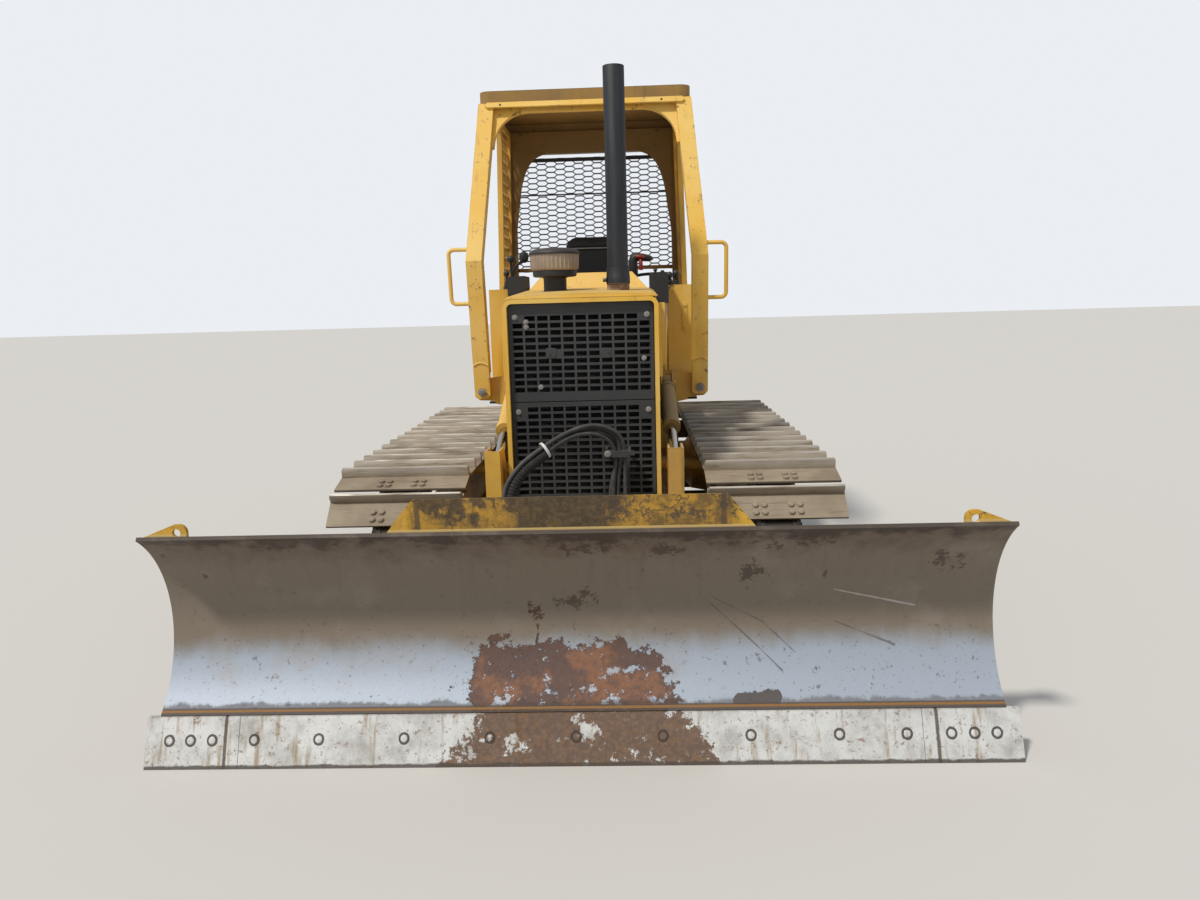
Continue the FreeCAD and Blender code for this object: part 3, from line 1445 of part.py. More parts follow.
def edge_section():
    lean = (edge_top_y - edge_tip_y) / edge_top_z
    return [(edge_tip_y, 0), (edge_tip_y + edge_sheet * 1.4, 0),
            (edge_top_y + edge_sheet, edge_top_z), (edge_top_y, edge_top_z),
            (edge_tip_y + lean * 10, 10)]


centre_half = bits_half - bit_length
nodes["cutting_edge"] = slab(edge_section(), "x", -centre_half + 1, centre_half - 1)
bit = slab(edge_section(), "x", centre_half + 1, bits_half)
nodes["end_bits"] = both_sides(bit)
seat_edge = slab([(edge_tip_y - 50, -50), (edge_tip_y + edge_sheet * 1.4 + 0.3, -50),
                  (edge_tip_y + edge_sheet * 1.4 + 0.3, 0),
                  (edge_top_y + edge_sheet + 0.3, edge_top_z + 0.3),
                  (edge_tip_y - 50, edge_top_z + 0.3)], "x", -bits_half - 5, bits_half + 5)
nodes["blade_back"] = nodes["blade_back"].cut(seat_edge)
nodes["moldboard"] = nodes["moldboard"].cut(seat_edge)


# Cylinders, each drawn along its own line from the base pin to the rod's eye

def cylinder_pair(base_pin, eye_pin, across, barrel, long, tail, rod):
    """Barrel with its base eye and gland, and the rod with its eye; both at their rest length."""
    line = (eye_pin - base_pin).normalize()
    half = across * (eye_width / 2)
    hole = round_bar(base_pin - half * 1.2, base_pin + half * 1.2, 17 + pin_clear)
    base_eye = round_bar(base_pin - half, base_pin + half, eye_radius)
    start = eye_radius + eye_neck
    neck = round_bar(base_pin + line * (eye_radius - 8), base_pin + line * start,
                     eye_width / 2 - 3)
    tube = round_bar(base_pin + line * start, base_pin + line * long, barrel)
    gland = round_bar(base_pin + line * (long - 34), base_pin + line * long, barrel + 5)
    cap = round_bar(base_pin + line * start, base_pin + line * (start + 24), barrel + 3)
    body = fused([base_eye, neck, tube, gland, cap]).cut(hole)
    bore = round_bar(base_pin + line * (start + 16), base_pin + line * (long + 10), rod + 0.6)
    body = body.cut(bore)
    stem = round_bar(base_pin + line * tail, eye_pin - line * (eye_radius - 8), rod)
    eye = round_bar(eye_pin - half, eye_pin + half, eye_radius)
    return body, fused([stem, eye])


along_x = vec(1, 0, 0)
along_y = vec(0, 1, 0)
along_z = vec(0, 0, 1)
for name, side in (("left", 1), ("right", -1)):
    barrel_body, rod_body = cylinder_pair(
        vec(side * tower_x, lift_base_y, lift_base_z), vec(side * tower_x, lift_eye_y, lift_eye_z),
        along_x, lift_barrel, lift_barrel_long, lift_rod_tail, lift_rod)
    nodes["lift_barrel_" + name] = barrel_body.cut(
        round_bar(vec(side * tower_x - 60, lift_base_y, lift_base_z),
                  vec(side * tower_x + 60, lift_base_y, lift_base_z), 18 + pin_clear))
    nodes["lift_rod_" + name] = rod_body
    barrel_body, rod_body = cylinder_pair(
        vec(side * angle_base_x, angle_base_y, yoke_z), vec(side * angle_eye_x, angle_eye_y, yoke_z),
        along_z, angle_barrel, angle_barrel_long, angle_rod_tail, angle_rod)
    nodes["angle_barrel_" + name] = barrel_body
    nodes["angle_rod_" + name] = rod_body
nodes["tilt_barrel"], nodes["tilt_rod"] = cylinder_pair(
    vec(tilt_base_x, tilt_y, tilt_base_z), vec(tilt_eye_x, tilt_y, tilt_eye_z), along_y,
    tilt_barrel, tilt_barrel_long, tilt_rod_tail, tilt_rod)

os.makedirs("parts", exist_ok=True)
for name, shape in nodes.items():
    shape.exportStep("parts/" + name + ".step")
print("pieces written:", len(nodes))
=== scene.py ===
import bpy
import bmesh
import math
import numpy as np
from mathutils import Matrix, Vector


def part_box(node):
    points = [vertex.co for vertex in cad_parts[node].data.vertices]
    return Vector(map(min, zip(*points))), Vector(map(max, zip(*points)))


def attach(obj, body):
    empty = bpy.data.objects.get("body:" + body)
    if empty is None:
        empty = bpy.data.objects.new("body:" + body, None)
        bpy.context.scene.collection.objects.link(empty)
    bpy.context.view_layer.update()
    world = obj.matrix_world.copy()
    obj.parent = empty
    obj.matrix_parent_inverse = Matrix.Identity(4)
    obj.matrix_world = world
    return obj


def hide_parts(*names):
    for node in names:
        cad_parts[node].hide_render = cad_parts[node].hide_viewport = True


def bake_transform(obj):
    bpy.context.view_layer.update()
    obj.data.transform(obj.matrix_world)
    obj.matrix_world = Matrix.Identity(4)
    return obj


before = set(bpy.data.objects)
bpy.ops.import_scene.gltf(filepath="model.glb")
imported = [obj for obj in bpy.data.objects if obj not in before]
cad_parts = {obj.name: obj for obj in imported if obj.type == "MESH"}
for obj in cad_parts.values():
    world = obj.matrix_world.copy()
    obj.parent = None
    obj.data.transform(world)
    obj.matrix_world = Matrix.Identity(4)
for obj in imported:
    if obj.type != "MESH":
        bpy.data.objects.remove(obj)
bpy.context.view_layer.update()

scene = bpy.context.scene


# Camera: a person standing five metres in front of the blade, a little to the machine's left,
# and looking slightly down. The lens is a wide one, as on a telephone.
photo_width = 1200
focal_pixels = 897.0
eye = np.array([0.2231, -5.096, 1.634])
yaw, pitch, roll = np.radians([-2.117, 9.579, -1.592])
ahead = np.array([math.sin(yaw) * math.cos(pitch), math.cos(yaw) * math.cos(pitch),
                  -math.sin(pitch)])
level = np.array([math.cos(yaw), -math.sin(yaw), 0.0])
upward = np.cross(level, ahead)
sideways = math.cos(roll) * level + math.sin(roll) * upward
upright = math.cos(roll) * upward - math.sin(roll) * level
camera = bpy.data.objects.new("camera", bpy.data.cameras.new("camera"))
camera.data.sensor_width = 36.0
camera.data.lens = focal_pixels / photo_width * camera.data.sensor_width
turn = np.eye(4)
turn[:3, :4] = np.column_stack([sideways, upright, -ahead, eye])
camera.matrix_world = Matrix(turn.tolist())
scene.collection.objects.link(camera)
scene.camera = camera
scene.view_settings.view_transform = "Standard"


# Floor and light: a pale floor, an even pale sky and one wide lamp high on the viewer's left,
# so that the upper half of the blade shades itself as it does out of doors.
floor_tone = (0.60, 0.575, 0.54, 1)
floor_half = 60.0
floor_mesh = bpy.data.meshes.new("floor")
floor_mesh.from_pydata([(-floor_half, -floor_half, 0), (floor_half, -floor_half, 0),
                        (floor_half, floor_half, 0), (-floor_half, floor_half, 0)], [],
                       [(0, 1, 2, 3)])
floor = bpy.data.objects.new("floor", floor_mesh)
scene.collection.objects.link(floor)
floor_finish = bpy.data.materials.new("floor")
floor_finish.use_nodes = True
floor_shader = floor_finish.node_tree.nodes["Principled BSDF"]
floor_shader.inputs["Base Color"].default_value = floor_tone
floor_shader.inputs["Roughness"].default_value = 0.9
floor_mesh.materials.append(floor_finish)

world = bpy.data.worlds.new("sky")
scene.world = world
world.use_nodes = True
sky = world.node_tree
sky_light = sky.nodes["Background"]
sky_light.inputs["Color"].default_value = (0.86, 0.92, 1.0, 1)
sky_light.inputs["Strength"].default_value = 0.52
sky_seen = sky.nodes.new("ShaderNodeBackground")
sky_seen.inputs["Color"].default_value = (0.83, 0.86, 0.90, 1)
rays = sky.nodes.new("ShaderNodeLightPath")
seen = sky.nodes.new("ShaderNodeMath")
seen.operation = "MAXIMUM"
sky.links.new(rays.outputs["Is Camera Ray"], seen.inputs[0])
sky.links.new(rays.outputs["Is Transmission Ray"], seen.inputs[1])
sky_mix = sky.nodes.new("ShaderNodeMixShader")
sky.links.new(seen.outputs[0], sky_mix.inputs[0])
sky.links.new(sky_light.outputs[0], sky_mix.inputs[1])
sky.links.new(sky_seen.outputs[0], sky_mix.inputs[2])
sky.links.new(sky_mix.outputs[0], sky.nodes["World Output"].inputs["Surface"])

lamp = bpy.data.objects.new("lamp", bpy.data.lights.new("lamp", "SUN"))
lamp.data.energy = 2.6
lamp.data.color = (1.0, 0.965, 0.90)
lamp.data.angle = math.radians(6)
lamp_from = np.array([-0.50, -0.50, 1.0])
lamp.rotation_euler = np.array([0.0, 0.0, 0.0])
towards = lamp_from / np.linalg.norm(lamp_from)
lamp.rotation_euler[0] = math.acos(towards[2])
lamp.rotation_euler[2] = math.atan2(towards[0], -towards[1])
scene.collection.objects.link(lamp)


# Frame, rear case and final drives: cast and welded steel in old yellow paint. Dust lies on
# what faces up, rain has drawn streaks, and the paint is chipped down to rust.
yellow = (0.80, 0.465, 0.060)
sun_bleached = (0.84, 0.56, 0.15)
dust_tan = (0.40, 0.305, 0.20)
old_rust = (0.155, 0.060, 0.026)
grime = (0.055, 0.045, 0.036)


class Value:
    """A value in one material. Python's operators on it add Math nodes."""

    def __init__(self, finish, socket):
        self.finish, self.socket = finish, socket

    def math(self, operation, *others):
        return self.finish.node("ShaderNodeMath", {"operation": operation}, self, *others)

    def __add__(self, other):
        return self.math("ADD", other)

    def __mul__(self, other):
        return self.math("MULTIPLY", other)

    def __sub__(self, other):
        return self.math("SUBTRACT", other)

    def __rsub__(self, other):
        return self.finish.node("ShaderNodeMath", {"operation": "SUBTRACT"}, other, self)

    def __truediv__(self, other):
        return self.math("DIVIDE", other)

    __radd__ = __add__
    __rmul__ = __mul__

    def step(self, low, high):
        """Rises smoothly from 0 at low to 1 at high; falls where low is the larger."""
        settings = {"interpolation_type": "SMOOTHSTEP"}
        if low > high:
            return 1 - self.step(high, low)
        return self.finish.node("ShaderNodeMapRange", settings, self, low, high)


class Finish:
    """A material with one Principled shader. Plain numbers go straight on the shader's sockets."""

    def __init__(self, name, **plain):
        self.material = bpy.data.materials.new(name)
        self.material.use_nodes = True
        self.tree = self.material.node_tree
        self.shader = self.tree.nodes["Principled BSDF"]
        for socket, number in plain.items():
            self.shader.inputs[socket.replace("_", " ")].default_value = number
        self.at = self.node("ShaderNodeTexCoord", out="Object")

    def node(self, kind, settings=(), *values, out=0, **named):
        """Adds a node, sets it, feeds its sockets by order or name and returns one output."""
        node = self.tree.nodes.new(kind)
        for key, setting in dict(settings).items():
            setattr(node, key, setting)
        for key, value in list(enumerate(values)) + list(named.items()):
            if isinstance(value, Value):
                self.tree.links.new(value.socket, node.inputs[key])
            elif value is not None:
                node.inputs[key].default_value = value
        return Value(self, node.outputs[out])

    def axis(self, name):
        return self.node("ShaderNodeSeparateXYZ", (), self.at, out=name)

    def noise(self, scale, detail=4.0, rough=0.55, stretch=None, shift=0.0):
        """Cloudy noise about 0.5; stretch scales the three axes before it is sampled."""
        place = self.at
        if stretch or shift:
            place = self.node("ShaderNodeMapping", (), place, (shift, shift, shift), (0, 0, 0),
                              stretch or (1, 1, 1))
        return self.node("ShaderNodeTexNoise", (), place, Scale=scale, Detail=detail,
                         Roughness=rough)

    def looks(self, way):
        """How much a face looks along the axis X, Y or Z, from -1 to 1."""
        normal = self.node("ShaderNodeNewGeometry", out="Normal")
        return self.node("ShaderNodeSeparateXYZ", (), normal, out=way)

    def upward(self):
        """How much a face looks up."""
        return self.looks("Z")

    def edge(self, radius):
        """1 on convex and concave edges within the radius, 0 on flat faces."""
        soft = self.node("ShaderNodeBevel", {"samples": 4}, radius)
        hard = self.node("ShaderNodeNewGeometry", out="Normal")
        agree = self.node("ShaderNodeVectorMath", {"operation": "DOT_PRODUCT"}, soft, hard,
                          out="Value")
        return agree.step(0.985, 0.80)

    def mix(self, first, second, share):
        first, second = [tone if isinstance(tone, Value) else (*tone, 1)
                         for tone in (first, second)]
        return self.node("ShaderNodeMix", {"data_type": "RGBA"}, share, None, None, None, None,
                         None, first, second, out=2)

    def feed(self, **values):
        for socket, value in values.items():
            self.tree.links.new(value.socket, self.shader.inputs[socket.replace("_", " ")])

    def bump(self, height, strength, distance):
        raised = self.node("ShaderNodeBump", (), strength, distance, Height=height)
        self.feed(Normal=raised)


def old_paint(name, fresh, faded, dust=0.55, chips=0.5, streaks=0.35, gloss=0.42):
    """Paint over steel: fading, dust by slope, vertical streaks, and chips that rust at edges."""
    f = Finish(name)
    cloud = f.noise(2.2, 5.0)
    fine = f.noise(38.0, 6.0, 0.7)
    tone = f.mix(fresh, faded, cloud.step(0.35, 0.70))
    run = f.noise(1.0, 5.0, 0.6, stretch=(30.0, 30.0, 1.6))
    tone = f.mix(tone, grime, run.step(0.56, 0.78) * streaks)
    lying = f.upward().step(0.35, 0.95) * (cloud * 0.7 + fine * 0.6)
    low = f.axis("Z").step(1.1, 0.25) * f.noise(7.0, 5.0).step(0.35, 0.65)
    tone = f.mix(tone, dust_tan, (lying + low * 0.65) * dust)
    speck = f.noise(16.0, 8.0, 0.72, shift=3.0)
    worn = f.edge(0.007) * f.noise(9.0, 5.0, 0.65).step(0.42, 0.60)
    chip = (speck.step(0.70, 0.73) + worn * 0.9) * chips
    tone = f.mix(tone, f.mix(old_rust, grime, fine.step(0.4, 0.6)), chip)
    f.feed(Base_Color=tone, Roughness=gloss + cloud * 0.18 + lying * 0.3 + chip * 0.25)
    f.bump(fine * 0.35 - chip * 1.2 + cloud * 0.6, 0.25, 0.004)
    f.tone = tone
    return f


def dress(finish, *nodes):
    """Gives CAD nodes a finish."""
    for name in nodes:
        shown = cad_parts[name]
        if not shown.material_slots:
            shown.data.materials.append(finish.material)
        for place in shown.material_slots:
            place.material = finish.material


machine_yellow = old_paint("machine_yellow", yellow, sun_bleached)
dirty_yellow = old_paint("dirty_yellow", yellow, (0.55, 0.31, 0.07), dust=0.95, chips=0.8,
                         streaks=0.6, gloss=0.5)
dress(dirty_yellow, "main_frame", "belly_guard", "rear_case", "final_drives", "drawbar")


# Roller frames, rollers, idlers and sprockets: greasy forged steel under packed earth, with
# treads that run bright.
def earthy_steel(name, tone, bright, earth, shine=0.25):
    """Dark steel under dust; the clean share runs bright and smooth."""
    f = Finish(name)
    cloud = f.noise(5.0, 6.0, 0.6)
    fine = f.noise(60.0, 5.0, 0.7)
    clean = f.edge(0.010) * f.noise(11.0, 4.0).step(0.35, 0.55)
    packed = (cloud.step(0.36, 0.62) * 0.85 + f.upward().step(0.2, 0.9) * 0.5) * earth
    base = f.mix(f.mix(tone, old_rust, fine.step(0.5, 0.8)), dust_tan, packed)
    f.feed(Base_Color=f.mix(base, bright, clean * 0.7), Metallic=clean * 0.6 * (1 - packed * 0.5),
           Roughness=0.72 - clean * shine + fine * 0.12)
    f.bump(fine * 0.5 + cloud, 0.35, 0.006)
    return f


undercarriage = earthy_steel("undercarriage_steel", (0.060, 0.050, 0.042), (0.34, 0.31, 0.28),
                             0.75)
dress(undercarriage, "idlers", "lower_rollers", "carrier_rollers", "sprockets")
dress(dirty_yellow, "track_frames")


# Track chains: forged links on pins and bushings, and wide pressed shoes with one grouser,
# held by four bolts each. Grousers and link rails are ground bright, the rest is dusty.
# The links and the undersides of the shoes are darkened near black inside the loop: painted shade, with
# some grime.
shoe_count = 39
link_pitch = 0.1715
pitches_round_wheel = 12
shoe_plate = 0.012
link_above_pin = 0.047
link_below_pin = 0.045
grouser_height = 0.046
rail_offset = 0.080
pin_radius = pitches_round_wheel * link_pitch / (2 * math.pi)
wheel_z = pin_radius + link_above_pin + shoe_plate + grouser_height
idler_y = sum(corner[1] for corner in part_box("idlers")) / 2
sprocket_y = idler_y + (shoe_count - pitches_round_wheel) * link_pitch / 2
chain_low, chain_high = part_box("track_left")
chain_x = (chain_low[0] + chain_high[0]) / 2
shoe_half = (chain_high[0] - chain_low[0]) / 2


def show(name, body, finish, part, sharp=35.0):
    """One mesh object at the origin from (vertices, faces), with its faces turned outwards. It
    rides on the body, or is left free where the body is None."""
    points, faces = part
    mesh = bpy.data.meshes.new(name)
    mesh.from_pydata(np.asarray(points, float).tolist(), [], faces)
    work = bmesh.new()
    work.from_mesh(mesh)
    bmesh.ops.recalc_face_normals(work, faces=work.faces)
    work.to_mesh(mesh)
    work.free()
    mesh.shade_smooth()
    mesh.set_sharp_from_angle(angle=math.radians(sharp))
    mesh.materials.append(finish.material)
    piece = bpy.data.objects.new(name, mesh)
    scene.collection.objects.link(piece)
    if body:
        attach(piece, body)
    return piece


def join(*parts):
    """Several (vertices, faces) as one."""
    starts = np.cumsum([0] + [len(points) for points, faces in parts])
    faces = [tuple(corner + start for corner in face)
             for start, (points, own) in zip(starts, parts) for face in own]
    return np.concatenate([np.asarray(points, float) for points, own in parts]), faces


def rings(loops, capped=True):
    """Skin over closed loops in an array (loop, point, 3), with a face on each end."""
    loops = np.asarray(loops, float)
    count, around = loops.shape[:2]
    start = (np.arange(count - 1)[:, None] * around + np.arange(around)).ravel()
    ahead_one = (np.arange(count - 1)[:, None] * around + (np.arange(around) + 1) % around).ravel()
    faces = np.column_stack([start, ahead_one, ahead_one + around, start + around]).tolist()
    if capped:
        faces += [list(range(around))[::-1], list(range((count - 1) * around, count * around))]
    return loops.reshape(-1, 3), faces


def stretched(outline, axis, low, high):
    """Outline drawn in the two axes after x, y or z, stretched along that axis."""
    outline = np.asarray(outline, float)
    order = {"x": (1, 2, 0), "y": (0, 2, 1), "z": (0, 1, 2)}[axis]
    loops = np.empty((2, len(outline), 3))
    loops[:, :, order[0]] = outline[:, 0]
    loops[:, :, order[1]] = outline[:, 1]
    loops[:, :, order[2]] = np.array([low, high])[:, None]
    return rings(loops)


def repeat(part, origins, across, out, along):
    """Copies of a part: each at its origin, its x, y and z laid on the three directions."""
    points, faces = part
    points = np.asarray(points, float)
    origins, across, out, along = np.broadcast_arrays(*(np.atleast_2d(v) for v in
                                                        (origins, across, out, along)))
    placed = (origins[:, None] + points[None, :, :1] * across[:, None]
              + points[None, :, 1:2] * out[:, None] + points[None, :, 2:] * along[:, None])
    copies = [[corner + k * len(points) for corner in face]
              for k in range(len(origins)) for face in faces]
    return placed.reshape(-1, 3), copies


upwards = ((1, 0, 0), (0, 1, 0), (0, 0, 1))
facing_front = ((1, 0, 0), (0, 0, 1), (0, -1, 0))


def bolt_head(radius, height, washer=1.45):
    """Six-sided head with a chamfer on a round washer, standing along its own z."""
    six = np.arange(12) * math.pi / 6
    hexagon = np.where(np.arange(12) % 2 == 0, 1.0, math.cos(math.pi / 6))
    levels = ((0, washer, 0), (0.22, washer, 0), (0.22, 1, 1), (0.92, 1, 1), (1, 0.88, 1))
    loops = []
    for level, size, six_sided in levels:
        reach = radius * size * (hexagon if six_sided else 1.0)
        loops.append(np.column_stack([reach * np.cos(six), reach * np.sin(six),
                                      np.full(12, level * height)]))
    return rings(loops)


def wheel(profile, sides):
    """Profile of (along, radius) points turned round its own z, with both ends closed."""
    angle = np.arange(sides) * 2 * math.pi / sides
    along, radius = np.asarray(profile, float).T
    loops = np.stack([radius[:, None] * np.cos(angle), radius[:, None] * np.sin(angle),
                      np.repeat(along[:, None], sides, 1)], axis=2)
    return rings(loops)


def on_loop(along):
    """Point, outward direction and travel direction in (y, z) at distances along the pin line:
    two straights and two half circles, starting under the idler."""
    straight, half_turn = sprocket_y - idler_y, math.pi * pin_radius
    along = np.mod(along, 2 * (straight + half_turn))
    rear = np.clip((along - straight) / pin_radius, 0, math.pi)
    front = np.clip((along - 2 * straight - half_turn) / pin_radius, 0, math.pi)
    angle = rear + front
    out = np.column_stack([np.sin(angle), -np.cos(angle)])
    travel = np.column_stack([np.cos(angle), np.sin(angle)])
    run = np.clip(along, 0, straight) - np.clip(along - straight - half_turn, 0, straight)
    centre = np.column_stack([idler_y + run, np.full(len(along), wheel_z)])
    return centre + out * pin_radius, out, travel


def shoe():
    """Shoe about its link's middle: x across, y outwards, z along the travel. The plate is cut
    out at the trailing edge to clear the links, and its leading edge dips under the next."""
    half, plate = link_pitch / 2 - 0.003, link_above_pin + shoe_plate
    x = np.array([-shoe_half, -0.118, -0.112, -0.048, -0.042, 0.042, 0.048, 0.112, 0.118,
                  shoe_half])
    cut = np.array([0, 0, 0.026, 0.026, 0, 0, 0.026, 0.026, 0, 0])
    back, front = -half + cut, np.full(10, half)
    loops = []
    for low, high in ((plate, plate), (link_above_pin, link_above_pin)):
        edge = np.concatenate([np.column_stack([x, np.full(10, low), back]),
                               np.column_stack([x[::-1], np.full(10, high - 0.001), front])])
        loops.append(edge)
    body = rings(loops)
    foot, tip = plate - 0.001, plate + grouser_height
    blade = np.array([(-half + 0.014, foot), (-half + 0.018, tip - 0.004), (-half + 0.021, tip),
                      (-half + 0.030, tip), (-half + 0.033, tip - 0.004), (-half + 0.040, foot)])
    reach = shoe_half - 0.002
    ends = np.array([-reach, -reach + 0.006, reach - 0.006, reach])
    worn = np.array([0.80, 1.0, 1.0, 0.80])
    bar = np.stack([np.repeat(ends[:, None], 6, 1),
                    foot + (blade[None, :, 1] - foot) * worn[:, None],
                    np.repeat(blade[None, :, 0], 4, 0)], axis=2)
    heads = repeat(bolt_head(0.014, 0.010, 1.2),
                   [(x0, plate - 0.0005, z0) for x0 in (-0.100, -0.060, 0.060, 0.100)
                    for z0 in (0.012, 0.052)],
                   (1, 0, 0), (0, 0, -1), (0, 1, 0))
    return join(body, rings(bar), heads)


def link():
    """Two forged plates, each stepping sideways from the bushing end to the pin end, with the
    pin and bushing; the same axes as the shoe."""
    top, low = link_above_pin - 0.001, -link_below_pin
    z = np.array([-0.112, -0.085, -0.045, 0.0, 0.045, 0.085, 0.108])
    high = np.array([0.022, 0.040, top, top, top, 0.040, 0.020])
    deep = np.array([-0.020, low, low, low, low, low, -0.018])
    step = np.array([-0.009, -0.009, -0.006, 0, 0.006, 0.009, 0.009])
    parts = []
    for side in (-1, 1):
        middle = side * (rail_offset + step)
        loops = np.stack([
            np.stack([middle - 0.009, high, z], 1), np.stack([middle + 0.009, high, z], 1),
            np.stack([middle + 0.009 + 0.004, deep, z], 1),
            np.stack([middle - 0.009 - 0.004, deep, z], 1)], axis=1)
        parts.append(rings(loops))
    for radius, reach in ((0.019, 0.106), (0.029, 0.066)):
        bar = wheel([(-reach, radius), (reach, radius)], 12)
        parts.append(repeat(bar, (0, 0, -link_pitch / 2), (0, 1, 0), (0, 0, 1), (1, 0, 0)))
    return join(*parts)


def chain_steel():
    """Dusty brown steel, ground bright where it is far from or near the pin line, and near black on the
    links and the shoes' undersides: painted shade, with some grime.
    """
    f = Finish("track_steel")
    ground = f.node("ShaderNodeAttribute", {"attribute_name": "wear"}, out="Fac")
    cloud = f.noise(3.5, 6.0, 0.6)
    fine = f.noise(70.0, 6.0, 0.72)
    streak = f.noise(1.0, 5.0, 0.6, stretch=(5.0, 60.0, 60.0))
    base = f.mix((0.215, 0.165, 0.115), (0.34, 0.275, 0.195), cloud.step(0.30, 0.70))
    base = f.mix(base, (0.105, 0.070, 0.045), streak.step(0.52, 0.80) * 0.75)
    base = f.mix(base, (0.10, 0.15, 0.05), f.noise(14.0, 3.0).step(0.69, 0.78) * 0.4)
    # Painted shade, with some grime: near black where the inner mark is set.
    inner_shade = f.node("ShaderNodeAttribute", {"attribute_name": "inner"}, out="Fac")
    base = f.mix(base, (0.022, 0.018, 0.014), inner_shade * (0.75 + cloud * 0.3))
    bright = ground * streak.step(0.72, 0.40) * (1 - inner_shade * 0.8)
    f.feed(Base_Color=f.mix(base, (0.50, 0.46, 0.40), bright), Metallic=bright * 0.55,
           Roughness=0.74 - bright * 0.28 + fine * 0.1)
    f.bump(fine * 0.6 + streak * 0.7, 0.30, 0.004)
    return f


def chain(side):
    """All shoes and links of one side, carried round the loop by whole arrays."""
    middle, out, travel = on_loop((np.arange(shoe_count) + 0.5) * link_pitch)
    zero = np.zeros((shoe_count, 1))
    # a shoe's middle lies on the chord between its two pins, a little inside the pin line
    origin = np.column_stack([np.full(shoe_count, side * chain_x), middle])
    frames = (origin, np.array([[side, 0, 0]]), np.hstack([zero, out]),
              np.hstack([zero, travel]))
    parts, wear, inner = [], [], []
    for part, mark in ((shoe(), lambda y: np.clip((y - 0.090) / 0.014, 0, 1)),
                       (link(), lambda y: np.clip((-y - 0.038) / 0.006, 0, 1))):
        parts.append(repeat(part, *frames))
        wear.append(np.tile(mark(part[0][:, 1]), shoe_count))
        # The inner mark covers the links and the plates' undersides; the finish paints shade there, with
        # some grime.
        inner.append(np.tile(np.clip((0.053 - part[0][:, 1]) / 0.004, 0, 1), shoe_count))
    return join(*parts), np.concatenate(wear), np.concatenate(inner)


track_finish = chain_steel()
for side, node in ((1, "track_left"), (-1, "track_right")):
    part, *marks = chain(side)
    piece = show(node + "_chain", "tractor", track_finish, part)
    for title, values in zip(("wear", "inner"), marks):
        mark = piece.data.attributes.new(title, "FLOAT", "POINT")
        mark.data.foreach_set("value", values)
    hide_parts(node)


# Radiator shell: welded plate with rounded upper corners and two grille panels, held by four
# bolts. The panels are punched steel in charcoal paint over the black fins of the cooler.
shell_low, shell_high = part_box("radiator_guard")
shell_front = -1.020
panel_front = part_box("grille_upper")[0][1]
charcoal = old_paint("grille_charcoal", (0.038, 0.039, 0.040), (0.058, 0.058, 0.058), dust=0.10,
                     chips=0.25, streaks=0.10, gloss=0.48)
bolt_steel = earthy_steel("bolt_steel", (0.20, 0.19, 0.175), (0.55, 0.54, 0.52), 0.35, 0.35)


def cooler_fins():
    """Black fins in fine level rows, with dirt blown between the tubes."""
    f = Finish("cooler_fins", Metallic=0.2)
    row = f.node("ShaderNodeTexWave", {"bands_direction": "Z"}, f.at, Scale=42.0)
    tube = f.node("ShaderNodeTexWave", {"bands_direction": "X"}, f.at, Scale=16.0)
    dirt = f.noise(6.0, 6.0, 0.6)
    fins = f.mix((0.003, 0.003, 0.003), (0.010, 0.010, 0.010), row.step(0.3, 0.7))
    f.feed(Base_Color=f.mix(fins, (0.016, 0.014, 0.012), dirt.step(0.5, 0.75) * 0.6),
           Roughness=0.6 + dirt * 0.3)
    f.bump(row + tube * 0.5, 0.8, 0.003)
    return f


shell_paint = old_paint("shell_paint", yellow, sun_bleached)
deep = shell_paint.axis("Y").step(-0.993, -0.991)
near_middle = shell_paint.axis("X").math("ABSOLUTE").step(0.3345, 0.3335)
shell_paint.feed(Base_Color=shell_paint.mix(shell_paint.tone, (0.012, 0.012, 0.012),
                                            deep * near_middle))
dress(shell_paint, "radiator_guard")
dress(charcoal, "grille_upper", "grille_lower")
dress(cooler_fins(), "radiator_core")
corner_bolts = [(x, panel_front, z) for x in (-0.300, 0.300) for z in (1.560, 1.127)]
loose_bolts = [(-0.249, panel_front, 1.538), (-0.249, panel_front, 1.515),
               (-0.192, panel_front, 1.241), (0.284, panel_front, 1.362)]
show("grille_bolts", "tractor", bolt_steel,
     join(repeat(bolt_head(0.009, 0.009, 1.45), corner_bolts, *facing_front),
          repeat(bolt_head(0.007, 0.007, 1.7), loose_bolts, *facing_front)))


def plate(half_x, half_z, thick, corner=0.004):
    """Flat plate about its middle, x by y, standing up its own z, with its corners cut and its
    rim bevelled."""
    x, z = half_x, half_z
    loops = []
    for level, inset in ((0, 0), (thick - 0.001, 0), (thick, 0.001)):
        a, b, c = x - inset, z - inset, corner
        outline = [(-a + c, -b), (a - c, -b), (a, -b + c), (a, b - c), (a - c, b), (-a + c, b),
                   (-a, b - c), (-a, -b + c)]
        loops.append([(u, v, level) for u, v in outline])
    return rings(loops)


pads = repeat(plate(0.024, 0.022, 0.003), [(-0.140, panel_front + 0.0003, 1.395),
                                          (0.111, panel_front + 0.0003, 1.389)], *facing_front)
pad_bolts = repeat(bolt_head(0.005, 0.005, 1.2), [(-0.146, panel_front - 0.002, 1.392),
                                                 (0.123, panel_front - 0.002, 1.392)],
                   *facing_front)
show("grille_pads", "tractor", charcoal, join(pads, pad_bolts))


